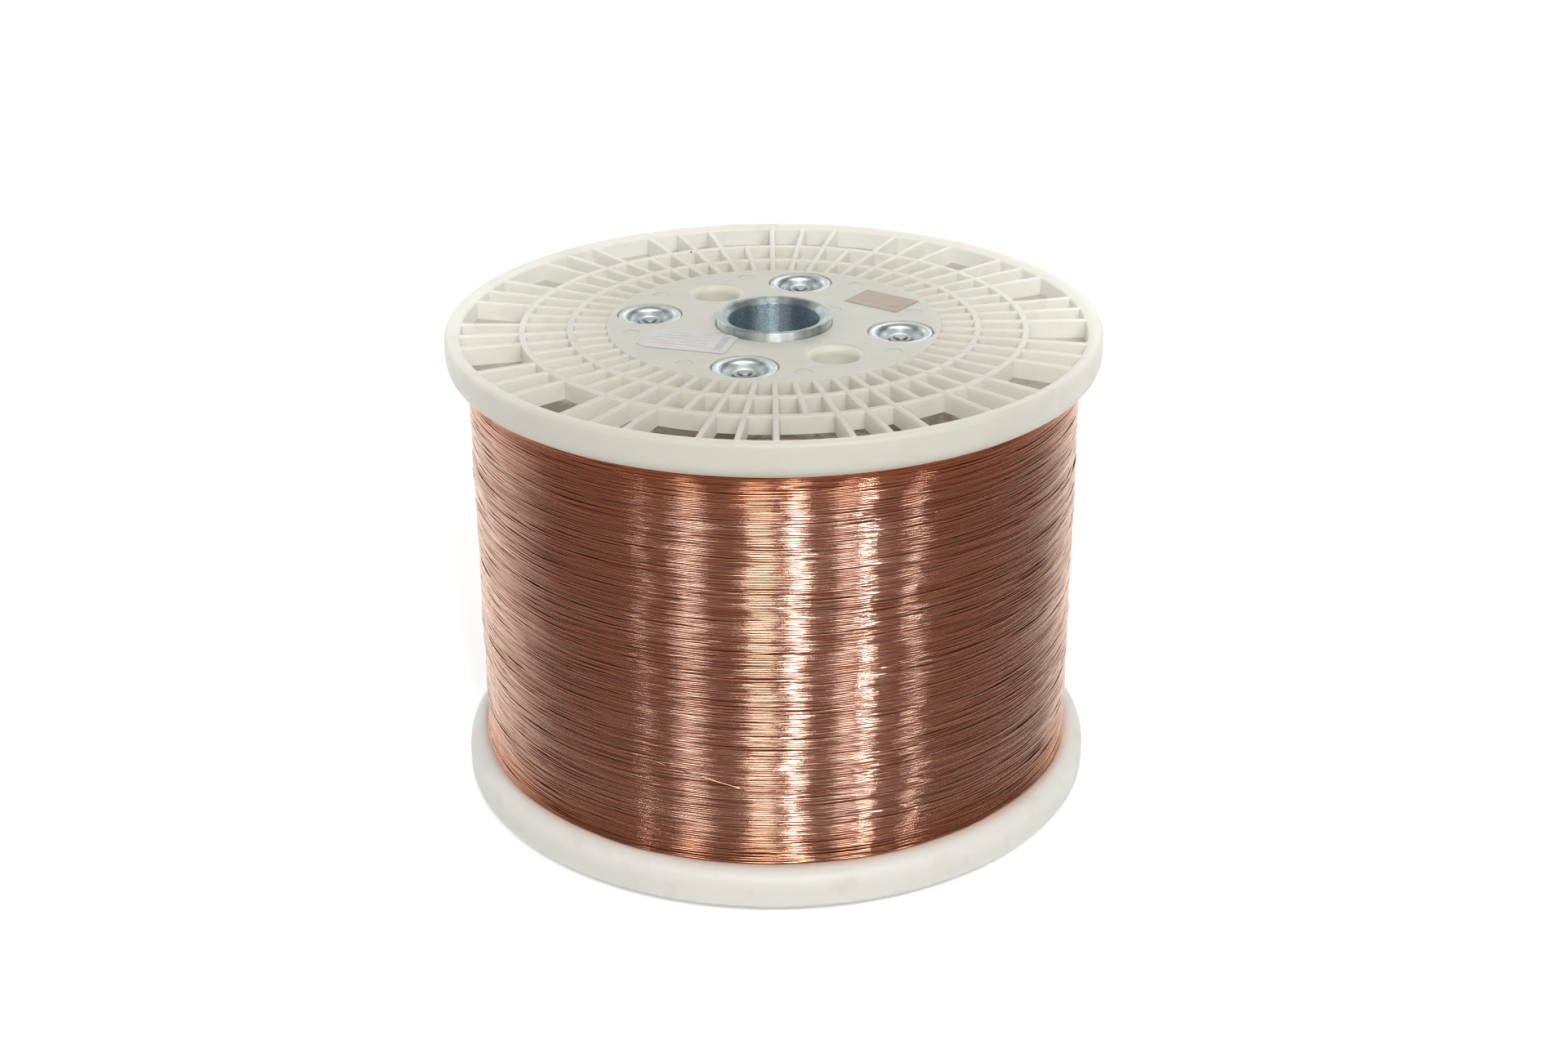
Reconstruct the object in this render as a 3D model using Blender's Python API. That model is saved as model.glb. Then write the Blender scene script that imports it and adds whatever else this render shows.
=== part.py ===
# Full spool of bare copper wire, standing on the lower end of its arbor tube.
# Two ribbed flanges close a barrel and are drawn together by four tie rods.
# Metres, +Z up along the spool's axis, origin on the axis at the lower tube end.
import bmesh
import bpy
import numpy as np
from math import asin, cos, pi, radians, sin
from mathutils import Matrix

# Clearances
SEAT_GAP = 0.0003
ROD_CLEARANCE = 0.0004

# Arbor tube
TUBE_LENGTH = 0.300
TUBE_RADIUS = 0.035
TUBE_WALL = 0.007
TUBE_MOUTH_WIDTH = 0.0036
TUBE_MOUTH_DEPTH = 0.0025
TUBE_PROUD = 0.003

# Barrel under the wire
BARREL_RADIUS = 0.100
BARREL_WALL = 0.006

# Flange rim and plate
FLANGE_RADIUS = 0.200
FLANGE_THICKNESS = 0.023
RIM_WIDTH = 0.0095
RIM_STEP = 0.002
RIM_SLOPE = 0.003
RIM_OUTER_ROUND = 0.004
RIM_INNER_ROUND = 0.010
WEB_THICKNESS = 0.010

# Open cells of the flange: a ring wall between rings, a rib between cells
CELL_COUNT = 56
CELL_RING_PARTS = (4, 5, 7)
RING_WALL = 0.0040
RIB_THICKNESS = 0.0034
WIDE_CELL_PERIOD = 4
WIDE_CELL_RIB = 3

# Centre of the flange
DISC_THICKNESS = 0.0065
DISC_MARGIN = 0.0035
HUB_WALL = 0.0067
SPIGOT_HEIGHT = 0.008
SPIGOT_WALL = 0.006
DRIVE_HOLE_COUNT = 2
DRIVE_HOLE_RADIUS = 0.014
DRIVE_HOLE_CIRCLE = 0.067

# Tie rods and their nuts
ROD_COUNT = 4
ROD_RADIUS = 0.004
ROD_INSET = 0.0155
ROD_TURN = radians(77.4)
ROD_PAST_NUT = 0.001
NUT_ACROSS_FLATS = 0.013
NUT_HEIGHT = 0.0065

# Dished cup washers
CUP_RADIUS = 0.0198
CUP_BOWL_RADIUS = 0.0140
CUP_FLOOR_RADIUS = 0.0100
CUP_DEPTH = 0.0105
CUP_SHEET = 0.0020
CUP_RECESS = 0.0008

# Wire
WINDING_MARGIN = 0.013
TURN_COUNT = 20
TURN_POINTS = 24
TURN_GAP = 0.0006
LEAD_BEND = 0.007
LEAD_POINTS = 4
WIRE_END_ANGLE = radians(90)

# Paper labels on the upper disc
LABEL_THICKNESS = 0.0004
LABEL_SIZE = (0.056, 0.032)
LABEL_PLACE = (-0.052, -0.033)
LABEL_TURN = radians(-16)
LABEL_TEAR = (0.016, 0.009)
TAG_SIZE = (0.0385, 0.026)
TAG_PLACE = (0.0674, 0.0380)
TAG_TURN = radians(-36)

# Facets of the round pieces
RIM_FACETS = 56
HUB_FACETS = 28
TUBE_FACETS = 48
SMALL_FACETS = 12
ROD_FACETS = 12
OUTER_ROUND_FACETS = 2
INNER_ROUND_FACETS = 2
DISC_SEAM = 1 / 16
SMOOTH_LIMIT = radians(35)
CUT_OVERRUN = 0.002

# Sizes that follow from the ones above
LOWER_FACE = TUBE_PROUD + FLANGE_THICKNESS
UPPER_FACE = TUBE_LENGTH - LOWER_FACE
FILL_FOOT = LOWER_FACE + SEAT_GAP
FILL_TOP = UPPER_FACE - SEAT_GAP
RIB_TOP = FLANGE_THICKNESS - RIM_STEP
TUBE_BORE = TUBE_RADIUS - TUBE_WALL
BARREL_BORE = BARREL_RADIUS - BARREL_WALL
ROD_CIRCLE = BARREL_BORE - ROD_INSET
ROD_HOLE = ROD_RADIUS + ROD_CLEARANCE
DISC_RADIUS = ROD_CIRCLE + CUP_RADIUS + SEAT_GAP + DISC_MARGIN
SPIGOT_RADIUS = BARREL_BORE - SEAT_GAP
RECESS_RADIUS = min(SPIGOT_RADIUS - SPIGOT_WALL, DISC_RADIUS - RING_WALL)
HUB_RADIUS = TUBE_RADIUS + SEAT_GAP + HUB_WALL
CUP_FLOOR = RIB_TOP - CUP_RECESS - CUP_DEPTH
CUP_UNDERSIDE = CUP_FLOOR - CUP_SHEET
CUP_BODY_RADIUS = CUP_BOWL_RADIUS + CUP_SHEET
NUT_TOP = CUP_FLOOR + SEAT_GAP + NUT_HEIGHT
ROD_REACH = NUT_TOP + ROD_PAST_NUT
WINDING_RADIUS = FLANGE_RADIUS - WINDING_MARGIN
LAYER_HEIGHT = FILL_TOP - FILL_FOOT - 2 * LEAD_BEND
TURN_DIAMETER = (LAYER_HEIGHT - TURN_COUNT * TURN_GAP) / (TURN_COUNT + 2)
TURN_PITCH = TURN_DIAMETER + TURN_GAP
TURN_CENTRE = WINDING_RADIUS - TURN_DIAMETER / 2
CORE_RADIUS = TURN_CENTRE * cos(pi / TURN_POINTS) - TURN_DIAMETER / 2 - SEAT_GAP
COLLAR_HEIGHT = LEAD_BEND + TURN_DIAMETER / 2 - TURN_GAP


def material(name, colour, roughness, metallic):
    finish = bpy.data.materials.new(name)
    finish.use_nodes = True
    shader = finish.node_tree.nodes["Principled BSDF"]
    shader.inputs["Base Color"].default_value = (*colour, 1.0)
    shader.inputs["Roughness"].default_value = roughness
    shader.inputs["Metallic"].default_value = metallic
    return finish


def place(name, data, finish, matrix=None):
    piece = bpy.data.objects.new(name, data)
    bpy.context.collection.objects.link(piece)
    if finish and not data.materials:
        data.materials.append(finish)
    piece.matrix_world = matrix or Matrix()
    return piece


def mesh_from(name, bm):
    bmesh.ops.recalc_face_normals(bm, faces=bm.faces)
    mesh = bpy.data.meshes.new(name)
    bm.to_mesh(mesh)
    bm.free()
    mesh.shade_smooth()
    mesh.set_sharp_from_angle(angle=SMOOTH_LIMIT)
    return mesh


def hole_radius(radius, facets):
    # The flats of a faceted hole then lie on the true radius.
    return radius / cos(pi / facets)


def round_loop(bm, radius, height, facets):
    turns = [2 * pi * step / facets for step in range(facets)]
    verts = [bm.verts.new((radius * cos(turn), radius * sin(turn), height)) for turn in turns]
    for vert, following in zip(verts, verts[1:] + verts[:1]):
        bm.edges.new((vert, following))
    return verts


def loop_edges(bm, verts):
    return [bm.edges.get(pair) for pair in zip(verts, verts[1:] + verts[:1])]


def join_all(bm, loops):
    # Quads between loops of one count, a bridge where the counts differ.
    for first, second in zip(loops, loops[1:]):
        if len(first) != len(second):
            bmesh.ops.bridge_loops(bm, edges=loop_edges(bm, first) + loop_edges(bm, second))
            continue
        pairs = list(zip(first, second))
        for (low, high), (next_low, next_high) in zip(pairs, pairs[1:] + pairs[:1]):
            bm.faces.new((low, next_low, next_high, high))


def turned_ring(name, profile, facets):
    # A closed (radius, height) outline turned about Z.
    bm = bmesh.new()
    loops = [round_loop(bm, radius, height, facets) for radius, height in profile]
    join_all(bm, loops + loops[:1])
    return mesh_from(name, bm)


def turned_plug(bm, profile, facets, centre=(0, 0)):
    # A stepped solid with flat ends, turned about a vertical line through the centre.
    loops = [round_loop(bm, radius, height, facets) for radius, height in profile]
    join_all(bm, loops)
    bm.faces.new(loops[0])
    bm.faces.new(loops[-1])
    verts = [vert for loop in loops for vert in loop]
    bmesh.ops.translate(bm, verts=verts, vec=(*centre, 0))


def polar(radius, turn):
    return (radius * cos(turn), radius * sin(turn))


def quarter_round(radius, height, size, start, facets):
    # Points of a quarter circle about (radius, height), clockwise from the start angle.
    turns = [start - pi / 2 * step / facets for step in range(facets + 1)]
    return [(radius + size * cos(turn), height + size * sin(turn)) for turn in turns]


def cell_radii():
    # Inner and outer radius of each ring of cells between the disc and the rim.
    band = FLANGE_RADIUS - RIM_WIDTH - DISC_RADIUS
    share = (band - RING_WALL * (len(CELL_RING_PARTS) - 1)) / sum(CELL_RING_PARTS)
    radii = []
    start = DISC_RADIUS
    for parts in CELL_RING_PARTS:
        end = start + parts * share
        radii += [start, end]
        start = end + RING_WALL
    return radii


def cell_loop(bm, radius):
    # Two points to a rib, so that ribs keep one thickness at every radius.
    half = asin(RIB_THICKNESS / 2 / radius)
    verts = []
    for rib in range(CELL_COUNT):
        turn = 2 * pi * rib / CELL_COUNT
        verts.append(bm.verts.new((*polar(radius, turn - half), RIB_TOP)))
        verts.append(bm.verts.new((*polar(radius, turn + half), RIB_TOP)))
    return verts


def ribbed_band(bm):
    # Rib tops and ring walls stay up, everything else is pushed down to the web.
    loops = [cell_loop(bm, radius) for radius in cell_radii()]
    last_ring = len(loops) - 2
    cells = []
    for ring, (inner, outer) in enumerate(zip(loops, loops[1:])):
        for step in range(2 * CELL_COUNT):
            following = (step + 1) % (2 * CELL_COUNT)
            face = bm.faces.new((inner[step], inner[following], outer[following], outer[step]))
            in_cell = step % 2 == 1
            left_out = ring == last_ring and step // 2 % WIDE_CELL_PERIOD == WIDE_CELL_RIB
            if ring % 2 == 0 and (in_cell or left_out):
                cells.append(face)
    pushed = bmesh.ops.extrude_face_region(bm, geom=cells)
    bmesh.ops.delete(bm, geom=cells, context="FACES_ONLY")
    floor = [item for item in pushed["geom"] if isinstance(item, bmesh.types.BMVert)]
    bmesh.ops.translate(bm, verts=floor, vec=(0, 0, WEB_THICKNESS - RIB_TOP))
    return loops[0], loops[-1]


def half_discs(bm, outer, inner):
    # The flat disc as two faces, whose seams pass between the holes.
    for half in range(2):
        seam = DISC_SEAM + half / 2
        faces = []
        for loop in (outer, inner):
            first = round(len(loop) * seam)
            faces.append([loop[(first + step) % len(loop)] for step in range(len(loop) // 2 + 1)])
        bm.faces.new(faces[0] + faces[1][::-1])


def flange_blank():
    bm = bmesh.new()
    disc_edge, rim_foot = ribbed_band(bm)
    rim_top = FLANGE_RADIUS - RIM_OUTER_ROUND
    rim_side = FLANGE_RADIUS - RIM_INNER_ROUND
    rim = [(FLANGE_RADIUS - RIM_WIDTH + RIM_SLOPE, FLANGE_THICKNESS)]
    rim += quarter_round(
        rim_top, FLANGE_THICKNESS - RIM_OUTER_ROUND, RIM_OUTER_ROUND, pi / 2, OUTER_ROUND_FACETS
    )
    rim += quarter_round(rim_side, RIM_INNER_ROUND, RIM_INNER_ROUND, 0, INNER_ROUND_FACETS)
    recess_top = RIB_TOP - DISC_THICKNESS
    bore = hole_radius(TUBE_RADIUS + SEAT_GAP, HUB_FACETS)
    centre = [
        (SPIGOT_RADIUS, 0),
        (SPIGOT_RADIUS, -SPIGOT_HEIGHT),
        (RECESS_RADIUS, -SPIGOT_HEIGHT),
        (RECESS_RADIUS, recess_top),
        (HUB_RADIUS, recess_top),
        (HUB_RADIUS, -SPIGOT_HEIGHT),
        (bore, -SPIGOT_HEIGHT),
        (bore, RIB_TOP),
    ]
    rim_loops = [round_loop(bm, radius, height, RIM_FACETS) for radius, height in rim]
    centre_loops = [round_loop(bm, radius, height, HUB_FACETS) for radius, height in centre]
    join_all(bm, [rim_foot] + rim_loops + centre_loops)
    half_discs(bm, disc_edge, centre_loops[-1])
    return mesh_from("flange_blank", bm)


def rod_places():
    return [polar(ROD_CIRCLE, 2 * pi * rod / ROD_COUNT) for rod in range(ROD_COUNT)]


def drive_hole_places():
    step = 2 * pi / DRIVE_HOLE_COUNT
    first = pi / ROD_COUNT
    return [polar(DRIVE_HOLE_CIRCLE, first + step * hole) for hole in range(DRIVE_HOLE_COUNT)]


def hole_mesh():
    # Stepped holes that carry the cup washers by their rims, and the plain drive holes.
    bm = bmesh.new()
    seat = RIB_TOP - CUP_RECESS - CUP_SHEET - SEAT_GAP
    rim = CUP_RADIUS + SEAT_GAP
    body = CUP_BODY_RADIUS + SEAT_GAP
    below = CUP_UNDERSIDE - SEAT_GAP
    above = RIB_TOP + CUT_OVERRUN
    for centre in rod_places():
        turned_plug(bm, [(body, below), (body, seat), (rim, seat), (rim, above)], SMALL_FACETS, centre)
    drive = hole_radius(DRIVE_HOLE_RADIUS, SMALL_FACETS)
    through = [(drive, RIB_TOP - DISC_THICKNESS - CUT_OVERRUN), (drive, above)]
    for centre in drive_hole_places():
        turned_plug(bm, through, SMALL_FACETS, centre)
    return mesh_from("flange_holes", bm)


def helper(name, mesh):
    guide = place(name, mesh, None)
    guide.hide_render = True
    guide.display_type = "WIRE"
    return guide


def cut(piece, cutter):
    change = piece.modifiers.new(cutter.name, "BOOLEAN")
    change.operation = "DIFFERENCE"
    change.solver = "EXACT"
    change.object = cutter


def finished_mesh(name, piece, cutter):
    # The piece as its cutter leaves it, with the cutter taken away.
    bpy.context.view_layer.update()
    graph = bpy.context.evaluated_depsgraph_get()
    mesh = bpy.data.meshes.new_from_object(piece.evaluated_get(graph))
    mesh.name = name
    bpy.data.objects.remove(piece)
    bpy.data.objects.remove(cutter)
    mesh.set_sharp_from_angle(angle=SMOOTH_LIMIT)
    return mesh


def flange_mesh(finish):
    blank = place("flange_blank", flange_blank(), finish)
    holes = helper("flange_holes", hole_mesh())
    cut(blank, holes)
    return finished_mesh("flange", blank, holes)


def arbor_tube(finish):
    mouth = TUBE_BORE + TUBE_MOUTH_WIDTH
    profile = [
        (TUBE_RADIUS, TUBE_LENGTH),
        (TUBE_RADIUS, 0),
        (mouth, 0),
        (TUBE_BORE, TUBE_MOUTH_DEPTH),
        (TUBE_BORE, TUBE_LENGTH - TUBE_MOUTH_DEPTH),
        (mouth, TUBE_LENGTH),
    ]
    place("arbor_tube", turned_ring("arbor_tube", profile, TUBE_FACETS), finish)


def barrel(finish):
    bore = hole_radius(BARREL_BORE, TUBE_FACETS)
    profile = [
        (BARREL_RADIUS, FILL_TOP),
        (BARREL_RADIUS, FILL_FOOT),
        (bore, FILL_FOOT),
        (bore, FILL_TOP),
    ]
    place("barrel", turned_ring("barrel", profile, TUBE_FACETS), finish)


def lead_notch(name, angle, height):
    # Room in a collar for the end of the wire, which runs up to a flange there.
    bm = bmesh.new()
    bmesh.ops.create_cube(bm, size=1)
    width = LEAD_BEND + TURN_DIAMETER + 2 * TURN_GAP
    depth = WINDING_RADIUS - CORE_RADIUS + CUT_OVERRUN
    tall = COLLAR_HEIGHT + 2 * CUT_OVERRUN
    bmesh.ops.scale(bm, vec=(depth, width, tall), verts=bm.verts)
    bmesh.ops.translate(bm, vec=(CORE_RADIUS + depth / 2, 0, height), verts=bm.verts)
    bmesh.ops.rotate(bm, matrix=Matrix.Rotation(angle, 3, "Z"), verts=bm.verts)
    return helper(name, mesh_from(name, bm))


def winding_core(finish):
    # The inner layers, with a collar of heaped wire at each flange.
    bore = hole_radius(BARREL_RADIUS + SEAT_GAP, TUBE_FACETS)
    profile = [
        (WINDING_RADIUS, FILL_TOP),
        (WINDING_RADIUS, FILL_TOP - COLLAR_HEIGHT),
        (CORE_RADIUS, FILL_TOP - COLLAR_HEIGHT),
        (CORE_RADIUS, FILL_FOOT + COLLAR_HEIGHT),
        (WINDING_RADIUS, FILL_FOOT + COLLAR_HEIGHT),
        (WINDING_RADIUS, FILL_FOOT),
        (bore, FILL_FOOT),
        (bore, FILL_TOP),
    ]
    core = place("winding_core", turned_ring("winding_core", profile, TUBE_FACETS), finish)
    half_bend = LEAD_BEND / 2 / TURN_CENTRE
    lower_angle = WIRE_END_ANGLE + half_bend
    upper_angle = WIRE_END_ANGLE + 3 * half_bend
    cut(core, lead_notch("lower_notch", lower_angle, FILL_FOOT + COLLAR_HEIGHT / 2))
    cut(core, lead_notch("upper_notch", upper_angle, FILL_TOP - COLLAR_HEIGHT / 2))


def cup_mesh():
    # The sheet runs from the rim over the lip and down the bowl to the rod hole.
    rim = RIB_TOP - CUP_RECESS
    lip_drop = CUP_SHEET / 2
    swell_height = CUP_FLOOR + CUP_DEPTH / 3
    profile = [
        (CUP_RADIUS, rim),
        (CUP_BOWL_RADIUS, rim - lip_drop),
        (CUP_BOWL_RADIUS - lip_drop, swell_height),
        (CUP_FLOOR_RADIUS, CUP_FLOOR),
        (ROD_HOLE, CUP_FLOOR),
        (ROD_HOLE, CUP_UNDERSIDE),
        (CUP_FLOOR_RADIUS, CUP_UNDERSIDE),
        (CUP_BODY_RADIUS, swell_height),
        (CUP_BODY_RADIUS, rim - CUP_SHEET),
        (CUP_RADIUS, rim - CUP_SHEET),
    ]
    return turned_ring("cup_washer", profile, SMALL_FACETS)


def nut_mesh():
    # Every second point of the outline is a corner of the hexagon.
    bm = bmesh.new()
    low = CUP_FLOOR + SEAT_GAP
    flat = NUT_ACROSS_FLATS / 2
    bore = hole_radius(ROD_HOLE, ROD_FACETS)
    loops = []
    for radius, height in ((flat, NUT_TOP), (flat, low), (bore, low), (bore, NUT_TOP)):
        loops.append(round_loop(bm, radius, height, ROD_FACETS))
    corner = flat / cos(2 * pi / ROD_FACETS)
    for loop in loops[:2]:
        for vert in loop[1::2]:
            vert.co.xy = vert.co.xy.normalized() * corner
    join_all(bm, loops + loops[:1])
    return mesh_from("nut", bm)


def flange_seats():
    # Both flanges are one moulding: the lower one is turned over about a rod's direction.
    turn = Matrix.Rotation(ROD_TURN, 4, "Z")
    over = Matrix.Rotation(pi, 4, "X")
    upper = Matrix.Translation((0, 0, UPPER_FACE)) @ turn
    lower = Matrix.Translation((0, 0, LOWER_FACE)) @ turn @ over
    return {"upper": upper, "lower": lower}


def flanges_and_fasteners(plastic, zinc, steel):
    flange = flange_mesh(plastic)
    cup = cup_mesh()
    nut = nut_mesh()
    for side, seat in flange_seats().items():
        place(f"{side}_flange", flange, plastic, seat)
        for rod, centre in enumerate(rod_places(), 1):
            over_rod = seat @ Matrix.Translation((*centre, 0))
            place(f"{side}_cup_washer_{rod}", cup, zinc, over_rod)
            place(f"{side}_nut_{rod}", nut, steel, over_rod)


def tie_rods(finish):
    bm = bmesh.new()
    low = LOWER_FACE - ROD_REACH
    high = UPPER_FACE + ROD_REACH
    turned_plug(bm, [(ROD_RADIUS, low), (ROD_RADIUS, high)], ROD_FACETS)
    rod_mesh = mesh_from("tie_rod", bm)
    turn = Matrix.Rotation(ROD_TURN, 4, "Z")
    for rod, centre in enumerate(rod_places(), 1):
        place(f"tie_rod_{rod}", rod_mesh, finish, turn @ Matrix.Translation((*centre, 0)))


def wire_route():
    # Unrolled (distance round, height): up from a flange, round the turns, up to the other.
    start = FILL_FOOT + TURN_DIAMETER
    first = start + LEAD_BEND
    bend = [pi / 2 * step / LEAD_POINTS for step in range(LEAD_POINTS + 1)]
    route = [(0, FILL_FOOT)]
    route += [(LEAD_BEND * (1 - cos(turn)), start + LEAD_BEND * sin(turn)) for turn in bend]
    steps = TURN_COUNT * TURN_POINTS
    around = 2 * pi * TURN_CENTRE / TURN_POINTS
    rise = TURN_PITCH / TURN_POINTS
    route += [(LEAD_BEND + around * step, first + rise * step) for step in range(1, steps)]
    end = LEAD_BEND + around * steps
    last = first + rise * steps
    route += [(end + LEAD_BEND * sin(turn), last + LEAD_BEND * (1 - cos(turn))) for turn in bend]
    route.append((end + LEAD_BEND, FILL_TOP))
    turns = [(WIRE_END_ANGLE + distance / TURN_CENTRE, height) for distance, height in route]
    return [(*polar(TURN_CENTRE, turn), height) for turn, height in turns]


def least_gap(points):
    # Nearest approach of the tube to itself, point to run, leaving out its own neighbours.
    path = np.array(points)
    starts = path[:-1]
    runs = path[1:] - starts
    nearest = []
    for index, point in enumerate(path):
        along = np.clip(((point - starts) * runs).sum(1) / (runs * runs).sum(1), 0, 1)
        distance = np.linalg.norm(starts + runs * along[:, None] - point, axis=1)
        own = abs(np.arange(len(starts)) - index) < TURN_POINTS // 2
        nearest.append(distance[~own].min())
    return min(nearest) - TURN_DIAMETER


def outer_turns(finish):
    points = wire_route()
    print(f"winding_outer_turns: least gap {least_gap(points) * 1000:.2f} mm")
    curve = bpy.data.curves.new("winding_outer_turns", "CURVE")
    curve.dimensions = "3D"
    curve.bevel_depth = TURN_DIAMETER / 2
    curve.bevel_resolution = 1
    curve.use_fill_caps = True
    spline = curve.splines.new("POLY")
    spline.points.add(len(points) - 1)
    for point, place_on_route in zip(spline.points, points):
        point.co = (*place_on_route, 1)
    place("winding_outer_turns", curve, finish)


def paper_sheet(name, outline, size, centre, turn, finish):
    # A flat sheet just above the upper disc, from an outline in shares of its half size.
    bm = bmesh.new()
    face = bm.faces.new([bm.verts.new((x * size[0] / 2, y * size[1] / 2, 0)) for x, y in outline])
    raised = bmesh.ops.extrude_face_region(bm, geom=[face])
    top = [item for item in raised["geom"] if isinstance(item, bmesh.types.BMVert)]
    bmesh.ops.translate(bm, verts=top, vec=(0, 0, LABEL_THICKNESS))
    height = UPPER_FACE + RIB_TOP + SEAT_GAP
    seat = Matrix.Translation((*centre, height)) @ Matrix.Rotation(turn, 4, "Z")
    bmesh.ops.transform(bm, matrix=seat, verts=bm.verts)
    return place(name, mesh_from(name, bm), finish)


def paper_label(finish):
    # The corner next to the tube is trimmed round it, the far lower one is torn off.
    torn_x = -1 + 2 * LABEL_TEAR[0] / LABEL_SIZE[0]
    torn_y = -1 + 2 * LABEL_TEAR[1] / LABEL_SIZE[1]
    outline = [(1, 1), (-1, 1), (-1, torn_y), (torn_x, -1), (1, -1)]
    sheet = paper_sheet("paper_label", outline, LABEL_SIZE, LABEL_PLACE, LABEL_TURN, finish)
    bm = bmesh.new()
    around_tube = TUBE_RADIUS + SEAT_GAP
    past_tube = TUBE_LENGTH + CUT_OVERRUN
    turned_plug(bm, [(around_tube, UPPER_FACE), (around_tube, past_tube)], TUBE_FACETS)
    trimmer = helper("label_trimmer", mesh_from("label_trimmer", bm))
    cut(sheet, trimmer)


def size_tag(finish):
    outline = [(1, 1), (-1, 1), (-1, -1), (1, -1)]
    paper_sheet("size_tag", outline, TAG_SIZE, TAG_PLACE, TAG_TURN, finish)


def build():
    for old in list(bpy.data.objects):
        bpy.data.objects.remove(old)
    ivory = material("ivory_plastic", (0.72, 0.70, 0.61), 0.42, 0.0)
    grey = material("grey_plastic", (0.35, 0.35, 0.34), 0.55, 0.0)
    zinc = material("zinc_plate", (0.62, 0.66, 0.70), 0.28, 1.0)
    steel = material("bright_steel", (0.55, 0.56, 0.57), 0.35, 1.0)
    tube_steel = material("galvanised_steel", (0.46, 0.52, 0.56), 0.38, 1.0)
    copper = material("bare_copper", (0.72, 0.36, 0.24), 0.30, 1.0)
    deep_copper = material("under_copper", (0.50, 0.24, 0.16), 0.45, 1.0)
    white_paper = material("white_paper", (0.80, 0.79, 0.78), 0.80, 0.0)
    pink_paper = material("pink_paper", (0.66, 0.52, 0.44), 0.80, 0.0)
    flanges_and_fasteners(ivory, zinc, steel)
    arbor_tube(tube_steel)
    barrel(grey)
    winding_core(deep_copper)
    tie_rods(steel)
    outer_turns(copper)
    paper_label(white_paper)
    size_tag(pink_paper)


build()
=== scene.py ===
import bmesh
import bpy
import numpy as np
from math import asin, atan2, cos, hypot, pi, radians, sin, tau
from mathutils import Matrix, Vector
from types import SimpleNamespace

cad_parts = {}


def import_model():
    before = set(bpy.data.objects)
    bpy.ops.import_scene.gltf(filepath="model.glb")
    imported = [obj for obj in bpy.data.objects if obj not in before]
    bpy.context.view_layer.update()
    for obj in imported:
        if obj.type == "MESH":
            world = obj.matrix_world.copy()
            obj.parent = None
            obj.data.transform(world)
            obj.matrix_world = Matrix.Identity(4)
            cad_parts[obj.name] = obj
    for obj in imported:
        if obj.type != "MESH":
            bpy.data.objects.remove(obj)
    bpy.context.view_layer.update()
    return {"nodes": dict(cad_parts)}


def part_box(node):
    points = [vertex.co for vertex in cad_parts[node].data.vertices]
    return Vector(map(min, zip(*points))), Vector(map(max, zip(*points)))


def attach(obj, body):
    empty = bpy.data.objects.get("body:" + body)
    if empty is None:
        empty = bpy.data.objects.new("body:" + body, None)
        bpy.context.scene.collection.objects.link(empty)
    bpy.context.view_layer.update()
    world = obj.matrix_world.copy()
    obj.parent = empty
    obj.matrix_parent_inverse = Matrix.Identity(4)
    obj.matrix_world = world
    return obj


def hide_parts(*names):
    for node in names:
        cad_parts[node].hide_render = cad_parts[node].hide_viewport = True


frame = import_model()

# Heights that the frame gives
RIM_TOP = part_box("upper_flange")[1].z
RIM_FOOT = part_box("lower_flange")[0].z
TUBE_FOOT, TUBE_TOP = (corner.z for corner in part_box("arbor_tube"))
ROD_FOOT, ROD_TOP = (corner.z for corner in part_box("tie_rod_1"))
NUT_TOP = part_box("upper_nut_1")[1].z
NUT_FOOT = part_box("upper_nut_1")[0].z
MIDDLE = (TUBE_FOOT + TUBE_TOP) / 2

# Flange
FLANGE_RADIUS = 0.200
FLANGE_THICKNESS = 0.023
RIM_WIDTH = 0.0095
RIM_STEP = 0.002
RIM_CROWN = 0.0055
RIM_CROWN_SHARES = (0.2, 0.45, 0.7, 1)
RIM_OUTER_ROUND = 0.003
RIM_OUTER_START = 75
RIM_OUTER_STEPS = 5
RIM_INNER_ROUND = 0.010
RIM_INNER_STEPS = 7
RIB_TOP = FLANGE_THICKNESS - RIM_STEP
CELLS_EDGE = FLANGE_RADIUS - RIM_WIDTH
CELL_DEPTH = 0.011
CELL_DRAFT = 0.0003
CELL_ROUND = 0.0008
CELL_ROUND_STEPS = 2
CELL_EDGE_ANGLE = radians(40)
CELL_COUNT = 56
CELL_LINES = 4
CELL_RING_PARTS = (4, 5, 7)
RING_WALL = 0.0040
RIB_THICKNESS = 0.0034
WIDE_CELL_PERIOD = 4
WIDE_CELL_RIB = 3
DISC_RADIUS = 0.1021
DISC_THICKNESS = 0.0065
SPIGOT_RADIUS = 0.0937
SPIGOT_HEIGHT = 0.008
RECESS_RADIUS = 0.0877
HUB_RADIUS = 0.042
HUB_BORE = 0.0353
ROD_CIRCLE = 0.0785
ROD_COUNT = 4
ROD_TURN = radians(77.4)
DRIVE_HOLE_CIRCLE = 0.067
DRIVE_HOLE_RADIUS = 0.014
DRIVE_FUNNEL = 0.005
DRIVE_FUNNEL_STEPS = 8
DRIVE_SLEEVE_WALL = 0.003
DRIVE_STEPS = 56
EJECTOR_RADIUS = 0.0053
EJECTOR_DEPTH = 0.0004
EJECTOR_STEPS = 28
EJECTOR_CIRCLES = ((0.088, (-24, 24)), (0.043, (45,)))
SEAT_CLEARANCE = 0.0004
SEAT_STEPS = 72
SEAT_EDGE_STEPS = 3
CUT_LIFT = 0.00003
CUT_ABOVE = 0.002
CUT_BELOW = 0.020
SAME_PLACE = 0.00001
FLOOR_MARGIN = 0.0001
RING_MARGIN = 0.001

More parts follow.
